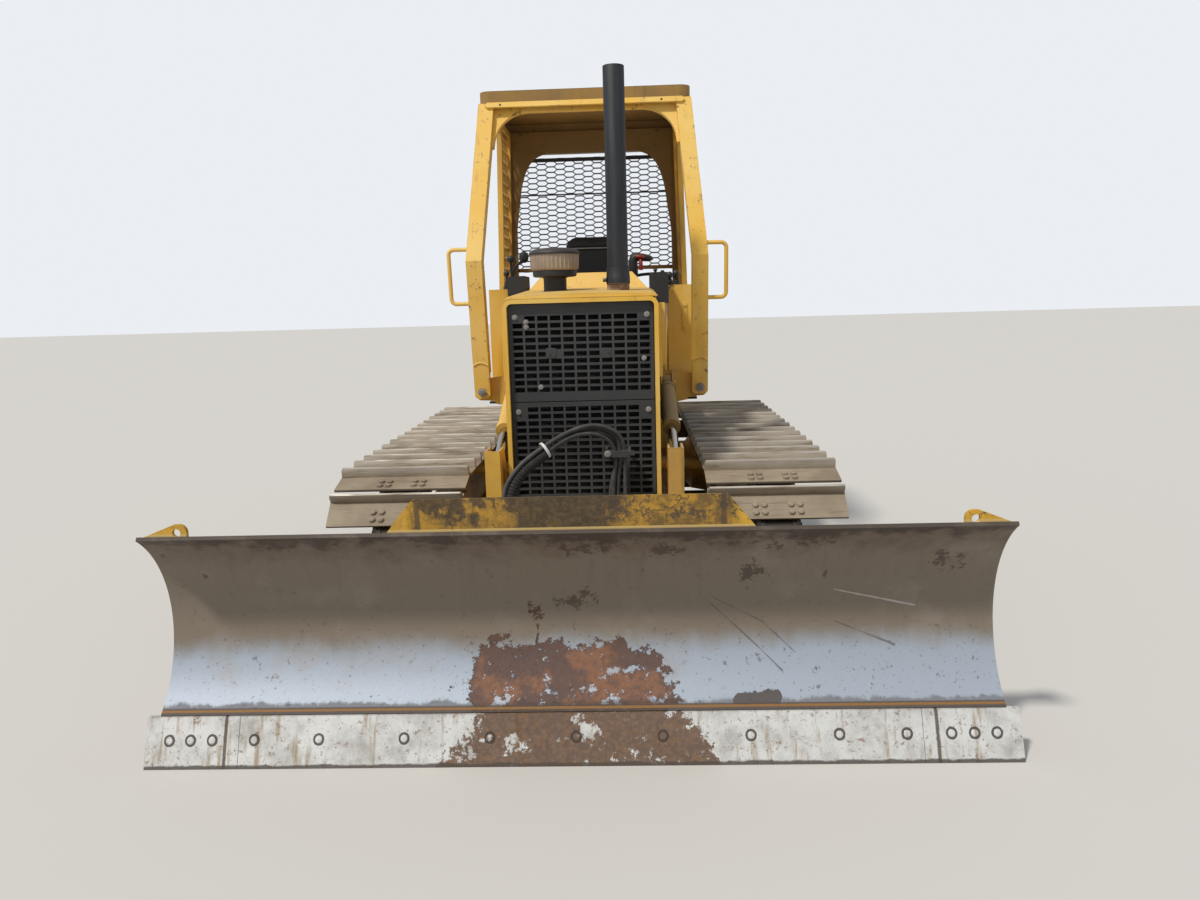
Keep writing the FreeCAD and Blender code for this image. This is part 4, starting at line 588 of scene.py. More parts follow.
# Hood, engine doors and cowl: bent sheet in the same yellow, and a plain engine block below.
engine_black = old_paint("engine_black", (0.020, 0.020, 0.020), (0.035, 0.033, 0.030), dust=0.6,
                         chips=0.2, streaks=0.3, gloss=0.55)
dress(machine_yellow, "hood", "engine_sides", "cowl")
dress(engine_black, "engine_block", "side_boxes")
flange_y = -0.205
flange = repeat(plate(0.0215, 0.168, 0.004), (0.3915, flange_y, 1.437), *facing_front)
hinge_leaf = repeat(plate(0.006, 0.034, 0.003, 0.002), (0.389, flange_y - 0.004, 1.498),
                    *facing_front)
show("door_flange", "tractor", machine_yellow, join(flange, hinge_leaf))
latch = join(repeat(plate(0.008, 0.011, 0.008, 0.003), (0.388, flange_y - 0.0038, 1.553),
                    *facing_front),
             repeat(bolt_head(0.005, 0.004, 1.1), (0.388, flange_y - 0.0117, 1.553), *facing_front))
show("door_latch", "tractor", engine_black, latch)


# Exhaust stack: straight black pipe in a sleeve, with a clamp band, rusting at its foot.
stack_x, stack_y = 0.170, -0.630
stack_radius = 0.051
stack_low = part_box("exhaust_stack")[0][2]
stack_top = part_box("exhaust_stack")[1][2]
hood_z = 1.655


def burnt_black():
    """Dull black heat paint that gives way to rust near the hood."""
    f = Finish("burnt_black")
    cloud = f.noise(9.0, 6.0, 0.65)
    run = f.noise(1.0, 5.0, 0.6, stretch=(40.0, 40.0, 3.0))
    foot = (f.axis("Z") + (cloud - 0.5) * 0.012).step(1.707, 1.701)
    base = f.mix((0.011, 0.013, 0.017), (0.026, 0.028, 0.033), run.step(0.35, 0.75))
    rust = f.mix((0.13, 0.075, 0.045), (0.42, 0.30, 0.21), cloud.step(0.42, 0.60))
    f.feed(Base_Color=f.mix(base, rust, foot), Roughness=0.50 + foot * 0.35 + cloud * 0.1)
    f.bump(cloud + f.noise(80.0, 4.0) * 0.3, 0.25, 0.002)
    return f


heat_black = burnt_black()
pipe_part = wheel([
    (stack_low, 0.0545), (hood_z + 0.046, 0.0545), (hood_z + 0.048, 0.058),
    (hood_z + 0.086, 0.058), (hood_z + 0.089, 0.0565), (hood_z + 0.122, 0.0565),
    (hood_z + 0.128, 0.0555), (hood_z + 0.128, stack_radius),
    (stack_top - 0.002, stack_radius), (stack_top, stack_radius - 0.001),
    (stack_top, stack_radius - 0.004), (stack_top - 0.25, stack_radius - 0.004),
    (stack_top - 0.25, 0.002)], 48)
stack_piece = show("exhaust_pipe", "tractor", heat_black,
                   repeat(pipe_part, (stack_x, stack_y, 0), *upwards))
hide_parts("exhaust_stack")
show("stack_clamp_bolt", "tractor", heat_black,
     repeat(bolt_head(0.010, 0.020, 1.2), [(stack_x - 0.054, stack_y - 0.022, 1.722)],
            (0, 1, 0), (0, 0, 1), (-1, 0, 0)))


# Pre-cleaner: a tan plastic bowl with vertical ribs under a black cap, on a rubber collar.
cleaner_x, cleaner_y = -0.145, -0.560
bowl_low = 1.776
bowl_top = 1.855
cap_black = Finish("cap_black", Roughness=0.5)
cap_cloud = cap_black.noise(14.0, 5.0)
cap_black.feed(Base_Color=cap_black.mix((0.018, 0.018, 0.019), (0.11, 0.095, 0.08),
                                        cap_black.upward().step(0.4, 1.0) * cap_cloud))
cap_black.bump(cap_cloud, 0.2, 0.003)
bowl_tan = Finish("bowl_tan", Subsurface_Weight=0.05)
bowl_cloud = bowl_tan.noise(10.0, 5.0)
bowl_tan.feed(Base_Color=bowl_tan.mix((0.37, 0.29, 0.215), (0.27, 0.205, 0.145),
                                      bowl_cloud.step(0.4, 0.7)),
              Roughness=0.35 + bowl_cloud * 0.25)


def ribbed_bowl(low, high, radius, ribs, depth):
    """Cup whose radius swells by a power of a cosine at each rib: r (1 + d cos^6(n a / 2))."""
    sides = ribs * 8
    angle = np.arange(sides) * 2 * math.pi / sides
    swell = depth * np.cos(angle * ribs / 2) ** 6
    levels = np.array([(low, 0.002, 0), (low, radius - 0.014, 0), (low + 0.004, radius - 0.006, 0),
                       (low + 0.010, radius - 0.003, 1), (high - 0.004, radius, 1),
                       (high, radius, 0), (high, 0.002, 0)])
    reach = levels[:, 1:2] + levels[:, 2:] * swell
    return rings(np.stack([reach * np.cos(angle), reach * np.sin(angle),
                           np.repeat(levels[:, :1], sides, 1)], axis=2))


bowl = show("pre_cleaner_bowl", "tractor", bowl_tan,
            repeat(ribbed_bowl(bowl_low, bowl_top + 0.001, 0.119, 36, 0.004),
                   (cleaner_x, cleaner_y, 0), *upwards))
cap = wheel([(bowl_top, 0.002), (bowl_top, 0.126), (bowl_top + 0.006, 0.127),
             (bowl_top + 0.010, 0.124), (bowl_top + 0.019, 0.117), (bowl_top + 0.027, 0.098),
             (bowl_top + 0.031, 0.060), (bowl_top + 0.032, 0.002)], 64)
neck = wheel([(1.600, 0.057), (1.738, 0.057), (1.743, 0.062), (1.746, 0.100), (1.750, 0.108),
              (bowl_low - 0.006, 0.110), (bowl_low + 0.0015, 0.106),
              (bowl_low + 0.0015, 0.002)], 48)
knob = wheel([(bowl_top + 0.031, 0.012), (bowl_top + 0.036, 0.011),
              (bowl_top + 0.0365, 0.002)], 12)
cleaner = show("pre_cleaner_cap", "tractor", cap_black,
               repeat(join(cap, neck, knob), (cleaner_x, cleaner_y, 0), *upwards))
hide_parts("pre_cleaner")


# Platform, consoles and tank: floor plate between the fenders, side consoles with levers, and
# the fuel tank behind the seat.
dress(machine_yellow, "fuel_tank", "consoles")
dress(engine_black, "floor_platform")
dress(cap_black, "control_levers")
console_front = 0.060
console_top = 1.700
strip = repeat(plate(0.014, 0.080, 0.006), (0.535, console_front + 0.0003, 1.518), *facing_front)
strip_bolts = repeat(bolt_head(0.008, 0.006, 1.35),
                     [(0.535, console_front - 0.0055, z) for z in (1.584, 1.462)], *facing_front)
show("console_strip", "tractor", machine_yellow, join(strip, strip_bolts))


def tube(path, radius, sides=10, spare=(0, 0, 1)):
    """Round bar along a path. Each circle is square to the central difference of the path, and
    is turned from the spare direction, which the path never follows."""
    path = np.asarray(path, float)
    ahead = np.gradient(path, axis=0)
    ahead /= np.linalg.norm(ahead, axis=1)[:, None]
    across = np.cross(ahead, np.asarray(spare, float))
    across /= np.linalg.norm(across, axis=1)[:, None]
    over = np.cross(across, ahead)
    angle = np.arange(sides) * 2 * math.pi / sides
    reach = np.broadcast_to(np.asarray(radius, float), (len(path),))[:, None, None]
    return rings(path[:, None] + reach * (np.cos(angle)[None, :, None] * across[:, None]
                                          + np.sin(angle)[None, :, None] * over[:, None]))


def smooth_path(corners, steps=8):
    """Quadratic B-spline through the middles of the runs, from the first corner to the last."""
    corners = np.asarray(corners, float)
    middle = (corners[1:] + corners[:-1]) / 2
    starts = np.concatenate([corners[:1], middle[1:-1]])
    ends = np.concatenate([middle[1:-1], corners[-1:]])
    t = np.linspace(0, 1, steps, endpoint=False)[:, None]
    runs = [(1 - t) ** 2 * a + 2 * t * (1 - t) * b + t ** 2 * c
            for a, b, c in zip(starts, corners[1:-1], ends)]
    return np.concatenate(runs + [corners[-1:]])


# Lever shelves, boots, arm pod and trigger: folded plates on the inner edges of the consoles,
# rubber bellows round the stalks that stand there, a padded black pod on a bent bar with a red
# trigger under it, and one knob on the other side.
shelf = [(0.346, 0.052), (0.472, 0.052), (0.472, 0.300), (0.430, 0.300), (0.346, 0.180)]
left_shelf = [(-0.424, 0.150), (-0.424, 0.250), (-0.475, 0.250), (-0.475, 0.150)]
show("lever_shelves", "tractor", engine_black,
     join(stretched(shelf, "z", console_top + 0.0002, console_top + 0.0045),
          stretched(left_shelf, "z", console_top + 0.0002, console_top + 0.0045)))
boots, stubs = [], []
for node_x, node_y, size, rise in ((0.456, 0.170, 0.027, 0.0050), (0.498, 0.250, 0.027, 0.0048),
                                   (-0.458, 0.200, 0.028, 0.0055), (-0.507, 0.330, 0.026, 0.0055),
                                   (0.373, 0.095, 0.025, 0.0072), (0.414, 0.112, 0.025, 0.0062)):
    step = np.arange(9)
    profile = np.column_stack([step * rise, size * (1 - step * 0.06) - (step % 2) * 0.006])
    profile = np.vstack([[(0.0, 0.004)], profile, [(8.5 * rise, 0.012), (8.5 * rise, 0.004)]])
    boots.append(repeat(wheel(profile, 20), (node_x, node_y - 0.002, console_top + 0.004),
                        *upwards))
    if node_y < 0.15:
        stub = wheel([(0, 0.006), (0.012, 0.006), (0.014, 0.010), (0.022, 0.012), (0.028, 0.008)],
                     16)
        boots.append(repeat(stub, (node_x, node_y - 0.002, console_top + 0.003 + 8.5 * rise),
                            *upwards))
show("lever_boots", "tractor", cap_black, join(*boots))

pod_path = smooth_path([(0.252, 0.300, 1.735), (0.250, 0.300, 1.790), (0.247, 0.300, 1.866),
                        (0.292, 0.300, 1.868), (0.330, 0.300, 1.862), (0.368, 0.300, 1.856)], 7)
pod_share = np.linspace(0, 1, len(pod_path))
pod_end = np.sqrt(np.clip(1 - np.abs(2 * pod_share - 1) ** 9, 0.03, 1))
pod_deep = 0.060 * pod_end
pod_thick = (0.030 - 0.011 * pod_share) * pod_end
pod_angle = np.arange(28) * 2 * math.pi / 28
squircle = (np.abs(np.cos(pod_angle)) ** 3 + np.abs(np.sin(pod_angle)) ** 3) ** (-1 / 3)
pod_ahead = np.gradient(pod_path, axis=0)
pod_ahead /= np.linalg.norm(pod_ahead, axis=1)[:, None]
pod_side = np.cross(pod_ahead, (0, 1, 0))
pod_loops = (pod_path[:, None]
             + (pod_thick[:, None] * squircle * np.cos(pod_angle))[:, :, None] * pod_side[:, None]
             + (pod_deep[:, None] * squircle * np.sin(pod_angle))[:, :, None] * np.array([0, 1, 0]))
pod_bar = tube(smooth_path([(0.500, 0.290, 1.699), (0.500, 0.292, 1.740), (0.470, 0.298, 1.768),
                            (0.400, 0.310, 1.772), (0.300, 0.312, 1.768), (0.262, 0.310, 1.760),
                            (0.252, 0.306, 1.780)]), 0.009, 12, (0, 1, 0))
left_bar = tube(smooth_path([(-0.470, 0.300, 1.699), (-0.470, 0.300, 1.760),
                             (-0.462, 0.298, 1.815), (-0.430, 0.296, 1.850),
                             (-0.402, 0.294, 1.868)]), 0.008, 12, (0, 1, 0))
left_knob = repeat(wheel([(-0.030, 0.010), (-0.024, 0.020), (-0.010, 0.027), (0.010, 0.029),
                          (0.026, 0.024), (0.034, 0.010)], 20), (-0.394, 0.294, 1.884), *upwards)
show("arm_pods", "tractor", cap_black, join(rings(pod_loops), pod_bar, left_bar, left_knob))
red_plastic = Finish("trigger_red", Roughness=0.45)
red_cloud = red_plastic.noise(30.0, 4.0)
red_plastic.feed(Base_Color=red_plastic.mix((0.28, 0.022, 0.014), (0.12, 0.02, 0.015),
                                            red_cloud.step(0.45, 0.7)))
trigger_stalk = tube(smooth_path([(0.290, 0.262, 1.852), (0.292, 0.240, 1.852),
                                  (0.293, 0.230, 1.838), (0.294, 0.228, 1.815),
                                  (0.295, 0.232, 1.792)]), [0.006] + [0.0115] * 24, 12, (1, 0, 0))
trigger_cap = tube(smooth_path([(0.264, 0.236, 1.870), (0.280, 0.230, 1.868),
                                (0.296, 0.230, 1.866), (0.316, 0.238, 1.862)]),
                   [0.004] + [0.0105] * 15 + [0.005], 12, (0, 1, 0))
show("trigger", "tractor", red_plastic, join(trigger_stalk, trigger_cap))


# Canopy: welded box posts and arches, a pressed roof and yellow expanded-metal side guards.
# The rear guard is black, and grab handles of bent tube stand on the posts.
guard_black = old_paint("guard_black", (0.018, 0.018, 0.019), (0.040, 0.038, 0.036), dust=0.25,
                        chips=0.3, streaks=0.1, gloss=0.5)
# The roof and the sill under the rear guard get a darker brown yellow: dirt, and painted shade.
roof_dirt_and_shade_paint = old_paint("roof_dirt_and_shade_paint", (0.36, 0.205, 0.048), (0.215, 0.130, 0.050), dust=0.35,
                       chips=0.9, streaks=0.7, gloss=0.6)


def spots(f, places, radius):
    """1 within the radius of any (x, z) on a finish, seen from the front."""
    share = 0
    for x, z in places:
        across, height = f.axis("X") - x, f.axis("Z") - z
        share = (across * across + height * height).step(radius ** 2, radius ** 2 * 0.7) + share
    return share


canopy_paint = old_paint("canopy_paint", yellow, sun_bleached, chips=0.7)
drilled = spots(canopy_paint, [(-0.460, 2.692), (0.420, 2.692)], 0.007)
outer_side = canopy_paint.looks("X") * canopy_paint.axis("X").math("SIGN")
# Faces in the rear of the canopy that look neither back nor outwards are darkened brown: painted shade,
# with some soot.
painted_inside_shade = canopy_paint.axis("Y").step(0.30, 0.80) * canopy_paint.looks("Y").step(0.60, 0.30)
painted_inside_shade = painted_inside_shade * outer_side.step(0.60, 0.30)
canopy_tone = canopy_paint.mix(canopy_paint.tone, (0.115, 0.062, 0.020), painted_inside_shade * 0.86)
knocked = canopy_paint.noise(24.0, 8.0, 0.78, shift=19.0).step(0.600, 0.620)
canopy_tone = canopy_paint.mix(canopy_tone, (0.150, 0.062, 0.026), knocked * 0.8)
canopy_paint.feed(Base_Color=canopy_paint.mix(canopy_tone, (0.015, 0.012, 0.010), drilled))
dress(canopy_paint, "rops_frame")
dress(machine_yellow, "grab_handles")
dress(roof_dirt_and_shade_paint, "roof_panel")
header_half, header_low, header_high, header_lean = 0.545, 2.674, 2.7045, 0.345
strip = plate(header_half, (header_high - header_low) / 2, 0.012, 0.012)
header_way = np.array([0, header_lean, 1.0]) / math.hypot(header_lean, 1.0)
show("roof_header", "tractor", canopy_paint,
     repeat(strip, [(0, 0.0412, (header_low + header_high) / 2)], (1, 0, 0), header_way,
            np.cross((1, 0, 0), header_way)))
foot_x, foot_y, foot_z = 0.600, -0.130, 1.142
knee_y, knee_z = -0.205, 1.850
post_half = 0.0425
post_lean = (knee_y - foot_y) / (knee_z - foot_z)
bead = []
for side in (-1, 1):
    u = np.linspace(-1, 1, 17)
    z = 1.288 + 0.016 * (1 - u ** 2)
    front_y = foot_y + post_lean * (z - foot_z) - post_half
    bead.append(tube(np.column_stack([side * foot_x + u * (post_half - 0.003), front_y, z]),
                     0.0052, 8, (0, 1, 0)))
show("post_beads", "tractor", machine_yellow, join(*bead))
foot_bolts = repeat(bolt_head(0.018, 0.013, 1.35),
                    [(side * foot_x, foot_y - post_half - 0.0135, foot_z) for side in (-1, 1)],
                    *facing_front)
show("post_bolts", "tractor", bolt_steel, foot_bolts)


def expanded(width, height, long_way, short_way, strand, thick, bond):
    """Expanded metal in x and z about the origin. Each strand is level over a bond, then slants
    by half the short way to the next bond, and its neighbours do the opposite, so that the
    openings have six sides."""
    flats = int(width / long_way * 2)
    lines = int(round(2 * height / short_way))
    middle = (np.arange(flats + 1) - flats / 2) * long_way / 2
    x = np.column_stack([middle - bond / 2, middle + bond / 2]).ravel()
    x[0], x[-1] = -width / 2, width / 2
    parts = []
    for line in range(lines + 1):
        turn = np.repeat(np.where((np.arange(flats + 1) + line) % 2, -1, 1), 2)
        z = (line - lines / 2) * short_way / 2 + turn * short_way / 4
        loops = np.stack([
            np.column_stack([x, np.full_like(x, -thick / 2), z - strand / 2]),
            np.column_stack([x, np.full_like(x, thick / 2), z - strand / 2 + 0.0004]),
            np.column_stack([x, np.full_like(x, thick / 2), z + strand / 2]),
            np.column_stack([x, np.full_like(x, -thick / 2), z + strand / 2 - 0.0004])], axis=1)
        parts.append(rings(loops))
    return join(*parts)


rear_low, rear_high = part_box("rear_screen")
mesh_width = rear_high[0] - rear_low[0] - 0.04
mesh_height = rear_high[2] - rear_low[2] - 0.03
rear_mesh = expanded(mesh_width, mesh_height, 0.122, 0.0345, 0.0085, 0.003, 0.040)
rear_points = rear_mesh[0] + np.array([0, (rear_low[1] + rear_high[1]) / 2,
                                       (rear_low[2] + rear_high[2]) / 2])
lap = stretched([(rear_low[0] + 0.02, 2.3125), (rear_high[0] - 0.02, 2.3125),
                 (rear_high[0] - 0.02, 2.3215), (rear_low[0] + 0.02, 2.3215)], "y",
                rear_low[1] + 0.001, rear_high[1] - 0.001)
show("rear_guard_mesh", "tractor", guard_black, join((rear_points, rear_mesh[1]), lap))
rim = 0.012
inner = [(rear_low[0] + rim * 2, rear_low[2] + rim * 2), (rear_high[0] - rim * 2, rear_low[2] + rim * 2),
         (rear_high[0] - rim * 3, rear_high[2] - rim * 2), (rear_low[0] + rim * 3, rear_high[2] - rim * 2)]
outer = [(rear_low[0], rear_low[2]), (rear_high[0], rear_low[2]),
         (rear_high[0] - 0.014, rear_high[2]), (rear_low[0] + 0.014, rear_high[2])]


def rim_bars(outer, inner, axis, low, high):
    """Flat bars between two four-sided outlines, one to a side, as one frame."""
    parts = []
    for k in range(4):
        n = (k + 1) % 4
        parts.append(stretched([outer[k], outer[n], inner[n], inner[k]], axis, low, high))
    return join(*parts)


rear_rim = show("rear_guard_rim", "tractor", guard_black,
                rim_bars(outer, inner, "y", rear_low[1] + 0.0003, rear_high[1]))
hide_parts("rear_screen")
# The sill is in the darker roof yellow: painted shade on dirty yellow.
sill_bar = [(-0.506, 1.820), (0.517, 1.820), (0.517, 1.844), (-0.506, 1.844)]
show("rear_guard_sill", "tractor", roof_dirt_and_shade_paint,
     stretched(sill_bar, "y", rear_low[1] - 0.0035, rear_high[1] + 0.0005))

# Corner plates of the rear arch: thin sheets that round its opening off in a wide curve.
curve = np.array([(0.511, 2.020), (0.500, 2.120), (0.482, 2.230), (0.4660, 2.350),
                  (0.4476, 2.412), (0.426, 2.474),
                  (0.392, 2.520), (0.357, 2.549), (0.300, 2.568)])
corners = []
for side in (-1, 1):
    edge = smooth_path(np.column_stack([curve[:, 0] * side, curve[:, 0] * 0, curve[:, 1]]), 4)
    back = np.column_stack([np.full(len(edge), side * 0.514), edge[:, 1],
                            edge[:, 2] + np.linspace(0, 0.029, len(edge))])
    front, rear = (0, 0.9445, 0), (0, 0.9495, 0)
    loops = np.stack([edge + front, edge + rear, back + rear, back + front], axis=1)
    corners.append(rings(loops if side > 0 else loops[::-1]))
show("rear_corner_plates", "tractor", canopy_paint, join(*corners))


# Side guards: coarse expanded metal with its long way upright, in a frame of square tube that
# leans in with the posts, welded to the rear arch.
guard_low, guard_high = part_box("side_screens")
guard_out = guard_high[0]
guard_in_top = guard_out - 0.028
slim = 0.030
screen_front, arch_front = 0.560, 0.9495
screen_low, screen_top = 1.700, guard_high[2]
lean = np.array([guard_in_top - guard_out, 0, screen_top - screen_low])
screen_height = float(np.linalg.norm(lean))
lean /= screen_height
guards = []
for side in (-1, 1):
    turned = lean * (side, 1, 1)
    middle = (side * (guard_out + guard_in_top - 0.016) / 2, (screen_front + arch_front) / 2,
              (screen_low + screen_top) / 2)
    net = expanded(screen_height - 0.035, arch_front - screen_front - 0.008, 0.132, 0.038, 0.0085,
                   0.011, 0.045)
    guards.append(repeat(net, middle, turned, (side * lean[2], 0, -lean[0]), (0, 1, 0)))
    for y in (screen_front - slim, arch_front - slim * 0.6):
        foot = np.array([(-slim, 0, screen_low - 0.060), (0, 0, screen_low - 0.060),
                         (0, slim, screen_low - 0.060), (-slim, slim, screen_low - 0.060)])
        foot += (guard_out, y, 0)
        foot[:, 1] = np.minimum(foot[:, 1], arch_front)
        head = foot + (guard_in_top - guard_out, 0, screen_top - screen_low + 0.060)
        guards.append(rings(np.stack([foot, head]) * (side, 1, 1)))
    for z, out in ((screen_low - 0.060, guard_out), (screen_top - 0.032, guard_in_top + 0.001)):
        sill = np.array([(out - slim, z), (out, z), (out, z + 0.032), (out - slim, z + 0.032)])
        sill[:, 0] *= side
        guards.append(stretched(sill, "y", screen_front - slim * 0.5, arch_front))
guard_piece = show("side_guards", "tractor", dirty_yellow, join(*guards))
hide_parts("side_screens")


# Seat: black vinyl cushions on a painted steel pedestal. The back has a grey seam across it.
vinyl = Finish("seat_vinyl", Sheen_Weight=0.1)
vinyl_cloud = vinyl.noise(18.0, 5.0)
vinyl.feed(Base_Color=vinyl.mix((0.012, 0.012, 0.013), (0.040, 0.036, 0.032),
                                vinyl.upward().step(0.2, 1.0) * vinyl_cloud),
           Roughness=0.42 + vinyl_cloud * 0.2)
vinyl.bump(vinyl.node("ShaderNodeTexVoronoi", (), vinyl.at, Scale=420.0), 0.12, 0.0008)
dress(engine_black, "seat_frame")


def cushion(name, node, inset, voxel, cap):
    """Copy of a node's solid, drawn in by the inset, remeshed and swollen: cloth under inner
    pressure with no gravity, and no point moves more than the cap. One subdivision ends it."""
    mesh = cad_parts[node].data.copy()
    work = bmesh.new()
    work.from_mesh(mesh)
    bmesh.ops.remove_doubles(work, verts=work.verts, dist=1e-5)
    work.to_mesh(mesh)
    work.free()
    low, high = np.array(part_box(node))
    points = np.empty(len(mesh.vertices) * 3)
    mesh.vertices.foreach_get("co", points)
    middle = (low + high) / 2
    points = middle + (points.reshape(-1, 3) - middle) * (high - low - 2 * inset) / (high - low)
    mesh.vertices.foreach_set("co", points.ravel())
    piece = bpy.data.objects.new(name, mesh)
    scene.collection.objects.link(piece)
    remesh = piece.modifiers.new("remesh", "REMESH")
    remesh.mode = "VOXEL"
    remesh.voxel_size = voxel
    even = bpy.data.meshes.new_from_object(
        piece.evaluated_get(bpy.context.evaluated_depsgraph_get()))
    piece.modifiers.clear()
    piece.data = even
    before = np.empty(len(even.vertices) * 3)
    even.vertices.foreach_get("co", before)
    cloth = piece.modifiers.new("cloth", "CLOTH")
    cloth.settings.quality = 5
    cloth.settings.use_pressure = True
    cloth.settings.uniform_pressure_force = 4
    cloth.settings.effector_weights.gravity = 0
    for step in range(1, 21):
        scene.frame_set(step)
    swollen = bpy.data.meshes.new_from_object(
        piece.evaluated_get(bpy.context.evaluated_depsgraph_get()))
    piece.modifiers.clear()
    scene.frame_set(1)
    after = np.empty(len(before))
    swollen.vertices.foreach_get("co", after)
    move = (after - before).reshape(-1, 3)
    far = np.linalg.norm(move, axis=1)[:, None]
    move *= np.minimum(1, cap / np.maximum(far, 1e-9))
    points = before.reshape(-1, 3) + move
    return piece, np.clip(points, low + 0.0005, high - 0.0005)


def finish_cushion(piece, points):
    """Sets the points, the vinyl and one last subdivision, and puts the cushion on the tractor."""
    piece.data.vertices.foreach_set("co", points.ravel())
    piece.data.shade_smooth()
    piece.data.materials.clear()
    piece.data.materials.append(vinyl.material)
    smooth = piece.modifiers.new("smooth", "SUBSURF")
    smooth.levels = smooth.render_levels = 1
    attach(piece, "tractor")


def skin_at(points, x, z, reach=0.012):
    """Front of a cushion, the least y of the points near each (x, z)."""
    near = ((np.abs(points[None, :, 0] - x[:, None]) < reach)
            & (np.abs(points[None, :, 2] - z) < reach))
    return np.where(near, points[None, :, 1], 9.0).min(axis=1)


seam_z = 1.952
back, back_points = cushion("seat_back_cushion", "seat_back", 0.014, 0.009, 0.022)
ditch = np.exp(-((back_points[:, 2] - seam_z) / 0.011) ** 2)
lower = np.exp(-((back_points[:, 2] - 1.640) / 0.010) ** 2)
front_half = np.clip((0.79 - back_points[:, 1]) / 0.03, 0, 1)
back_points[:, 1] += (ditch * 0.010 + lower * 0.007) * front_half
finish_cushion(back, back_points)
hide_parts("seat_back")
piping_x = np.linspace(-0.185, 0.185, 41)
piping_y = skin_at(back_points, piping_x, seam_z)
piping_y = np.convolve(np.pad(piping_y, 2, mode="edge"), np.ones(5) / 5, mode="valid")
piping_grey = Finish("piping_grey", Roughness=0.5)
grey_share = piping_grey.noise(60.0, 4.0)
piping_grey.feed(Base_Color=piping_grey.mix((0.40, 0.40, 0.40), (0.26, 0.25, 0.24), grey_share))
show("seat_piping", "tractor", piping_grey,
     tube(np.column_stack([piping_x, piping_y - 0.0015, np.full(41, seam_z)]), 0.0045, 10))

base, base_points = cushion("seat_base_cushion", "seat_cushion", 0.014, 0.009, 0.022)
top_half = np.clip((base_points[:, 2] - 1.40) / 0.03, 0, 1)
channels = sum(np.exp(-((base_points[:, 1] - y) / 0.010) ** 2) for y in (0.48, 0.62))
rim_line = np.exp(-((base_points[:, 2] - 1.385) / 0.008) ** 2)
base_points[:, 2] -= channels * 0.007 * top_half
base_points[:, :2] = (base_points[:, :2] - (0, 0.575)) * (1 - rim_line * 0.02)[:, None] + (0, 0.575)
base_points[:, 2] = np.maximum(base_points[:, 2], 1.3402)
finish_cushion(base, base_points)
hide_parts("seat_cushion")


# Push frame, yoke and cylinders: heavy welded steel, and cylinders with bright rods.
chrome = Finish("chrome_rod", Metallic=1.0, Base_Color=(0.62, 0.62, 0.62, 1))
rod_cloud = chrome.noise(20.0, 5.0)
chrome.feed(Roughness=0.12 + rod_cloud.step(0.5, 0.8) * 0.25)
dress(dirty_yellow, "c_frame", "blade_yoke")
# Darker yellow with grease streaks for the left lift barrel and the angle and tilt barrels; on the left
# lift barrel the darker tone is painted shade, as the right one keeps the plain yellow.
greasy_and_shaded_yellow = old_paint("greasy_and_shaded_yellow", (0.36, 0.235, 0.060), (0.22, 0.150, 0.060), dust=0.8,
                          chips=0.7, streaks=0.9, gloss=0.5)
dress(greasy_and_shaded_yellow, "lift_barrel_left", "angle_barrel_left", "angle_barrel_right", "tilt_barrel")
dress(machine_yellow, "lift_barrel_right")
dress(chrome, "lift_rod_left", "lift_rod_right", "angle_rod_left", "angle_rod_right", "tilt_rod")


# Blade hoses: four rubber pressure hoses from the shelf under the grille, held in a clamp in
# front of it, which arch over and go down in a spiral sleeve to the push frame.
hose_diameter = 0.019
hose_route = np.array([
    (0.150, -1.064, 0.500), (0.150, -1.064, 0.640), (0.155, -1.068, 0.790),
    (0.162, -1.076, 0.930), (0.136, -1.092, 1.020), (0.048, -1.124, 1.066),
    (-0.062, -1.168, 1.046), (-0.170, -1.228, 0.975), (-0.272, -1.285, 0.888),
    (-0.338, -1.318, 0.772), (-0.285, -1.310, 0.630), (-0.285, -1.310, 0.512)])
hose_rubber = Finish("hose_rubber")
rubber_cloud = hose_rubber.noise(25.0, 5.0)
hose_rubber.feed(Base_Color=hose_rubber.mix((0.050, 0.050, 0.051), (0.125, 0.115, 0.10),
                                            rubber_cloud.step(0.40, 0.80) * 0.8),
                 Roughness=0.55 + rubber_cloud * 0.2)
hose_rubber.bump(hose_rubber.noise(300.0, 2.0), 0.2, 0.0006)
hose_offset = np.array([
    [(-0.038, 0, 0), (-0.037, 0.006, 0), (-0.037, 0.008, 0), (0, 0.018, 0),
     (0.004, 0.016, -0.004), (-0.002, 0.016, -0.013), (0.006, 0.012, -0.018),
     (0.008, 0.010, -0.012), (0, 0.010, 0.004), (0.018, 0.009, 0.006), (0.009, 0.009, 0),
     (0.009, 0.009, 0)],
    [(-0.013, 0, 0), (-0.018, -0.006, 0), (-0.026, -0.010, 0), (-0.010, -0.004, 0),
     (-0.016, -0.006, -0.014), (-0.004, -0.006, -0.020), (0.002, -0.006, -0.012),
     (0.004, -0.008, -0.006), (0, -0.010, 0.004), (0.014, -0.010, 0.010), (0.009, -0.009, 0),
     (0.009, -0.009, 0)],
    [(0.013, 0, 0), (0.006, 0, 0), (-0.006, 0.002, 0), (0.010, 0, 0), (0.018, 0.006, 0.010),
     (0.002, 0.008, 0.006), (-0.002, 0.012, 0.003), (0, 0.008, 0.025), (-0.010, 0.008, 0.034),
     (-0.014, 0.010, 0.024), (-0.009, 0.009, 0), (-0.009, 0.009, 0)],
    [(0.038, 0, 0), (0.036, 0, 0), (0.030, -0.004, 0), (0.029, -0.004, 0),
     (0.032, -0.006, 0.019), (0.004, -0.006, 0.020), (-0.004, -0.006, 0.010),
     (0, -0.012, 0.026), (-0.012, -0.012, 0.034), (-0.016, -0.012, 0.026),
     (-0.009, -0.009, 0), (-0.009, -0.009, 0)]])


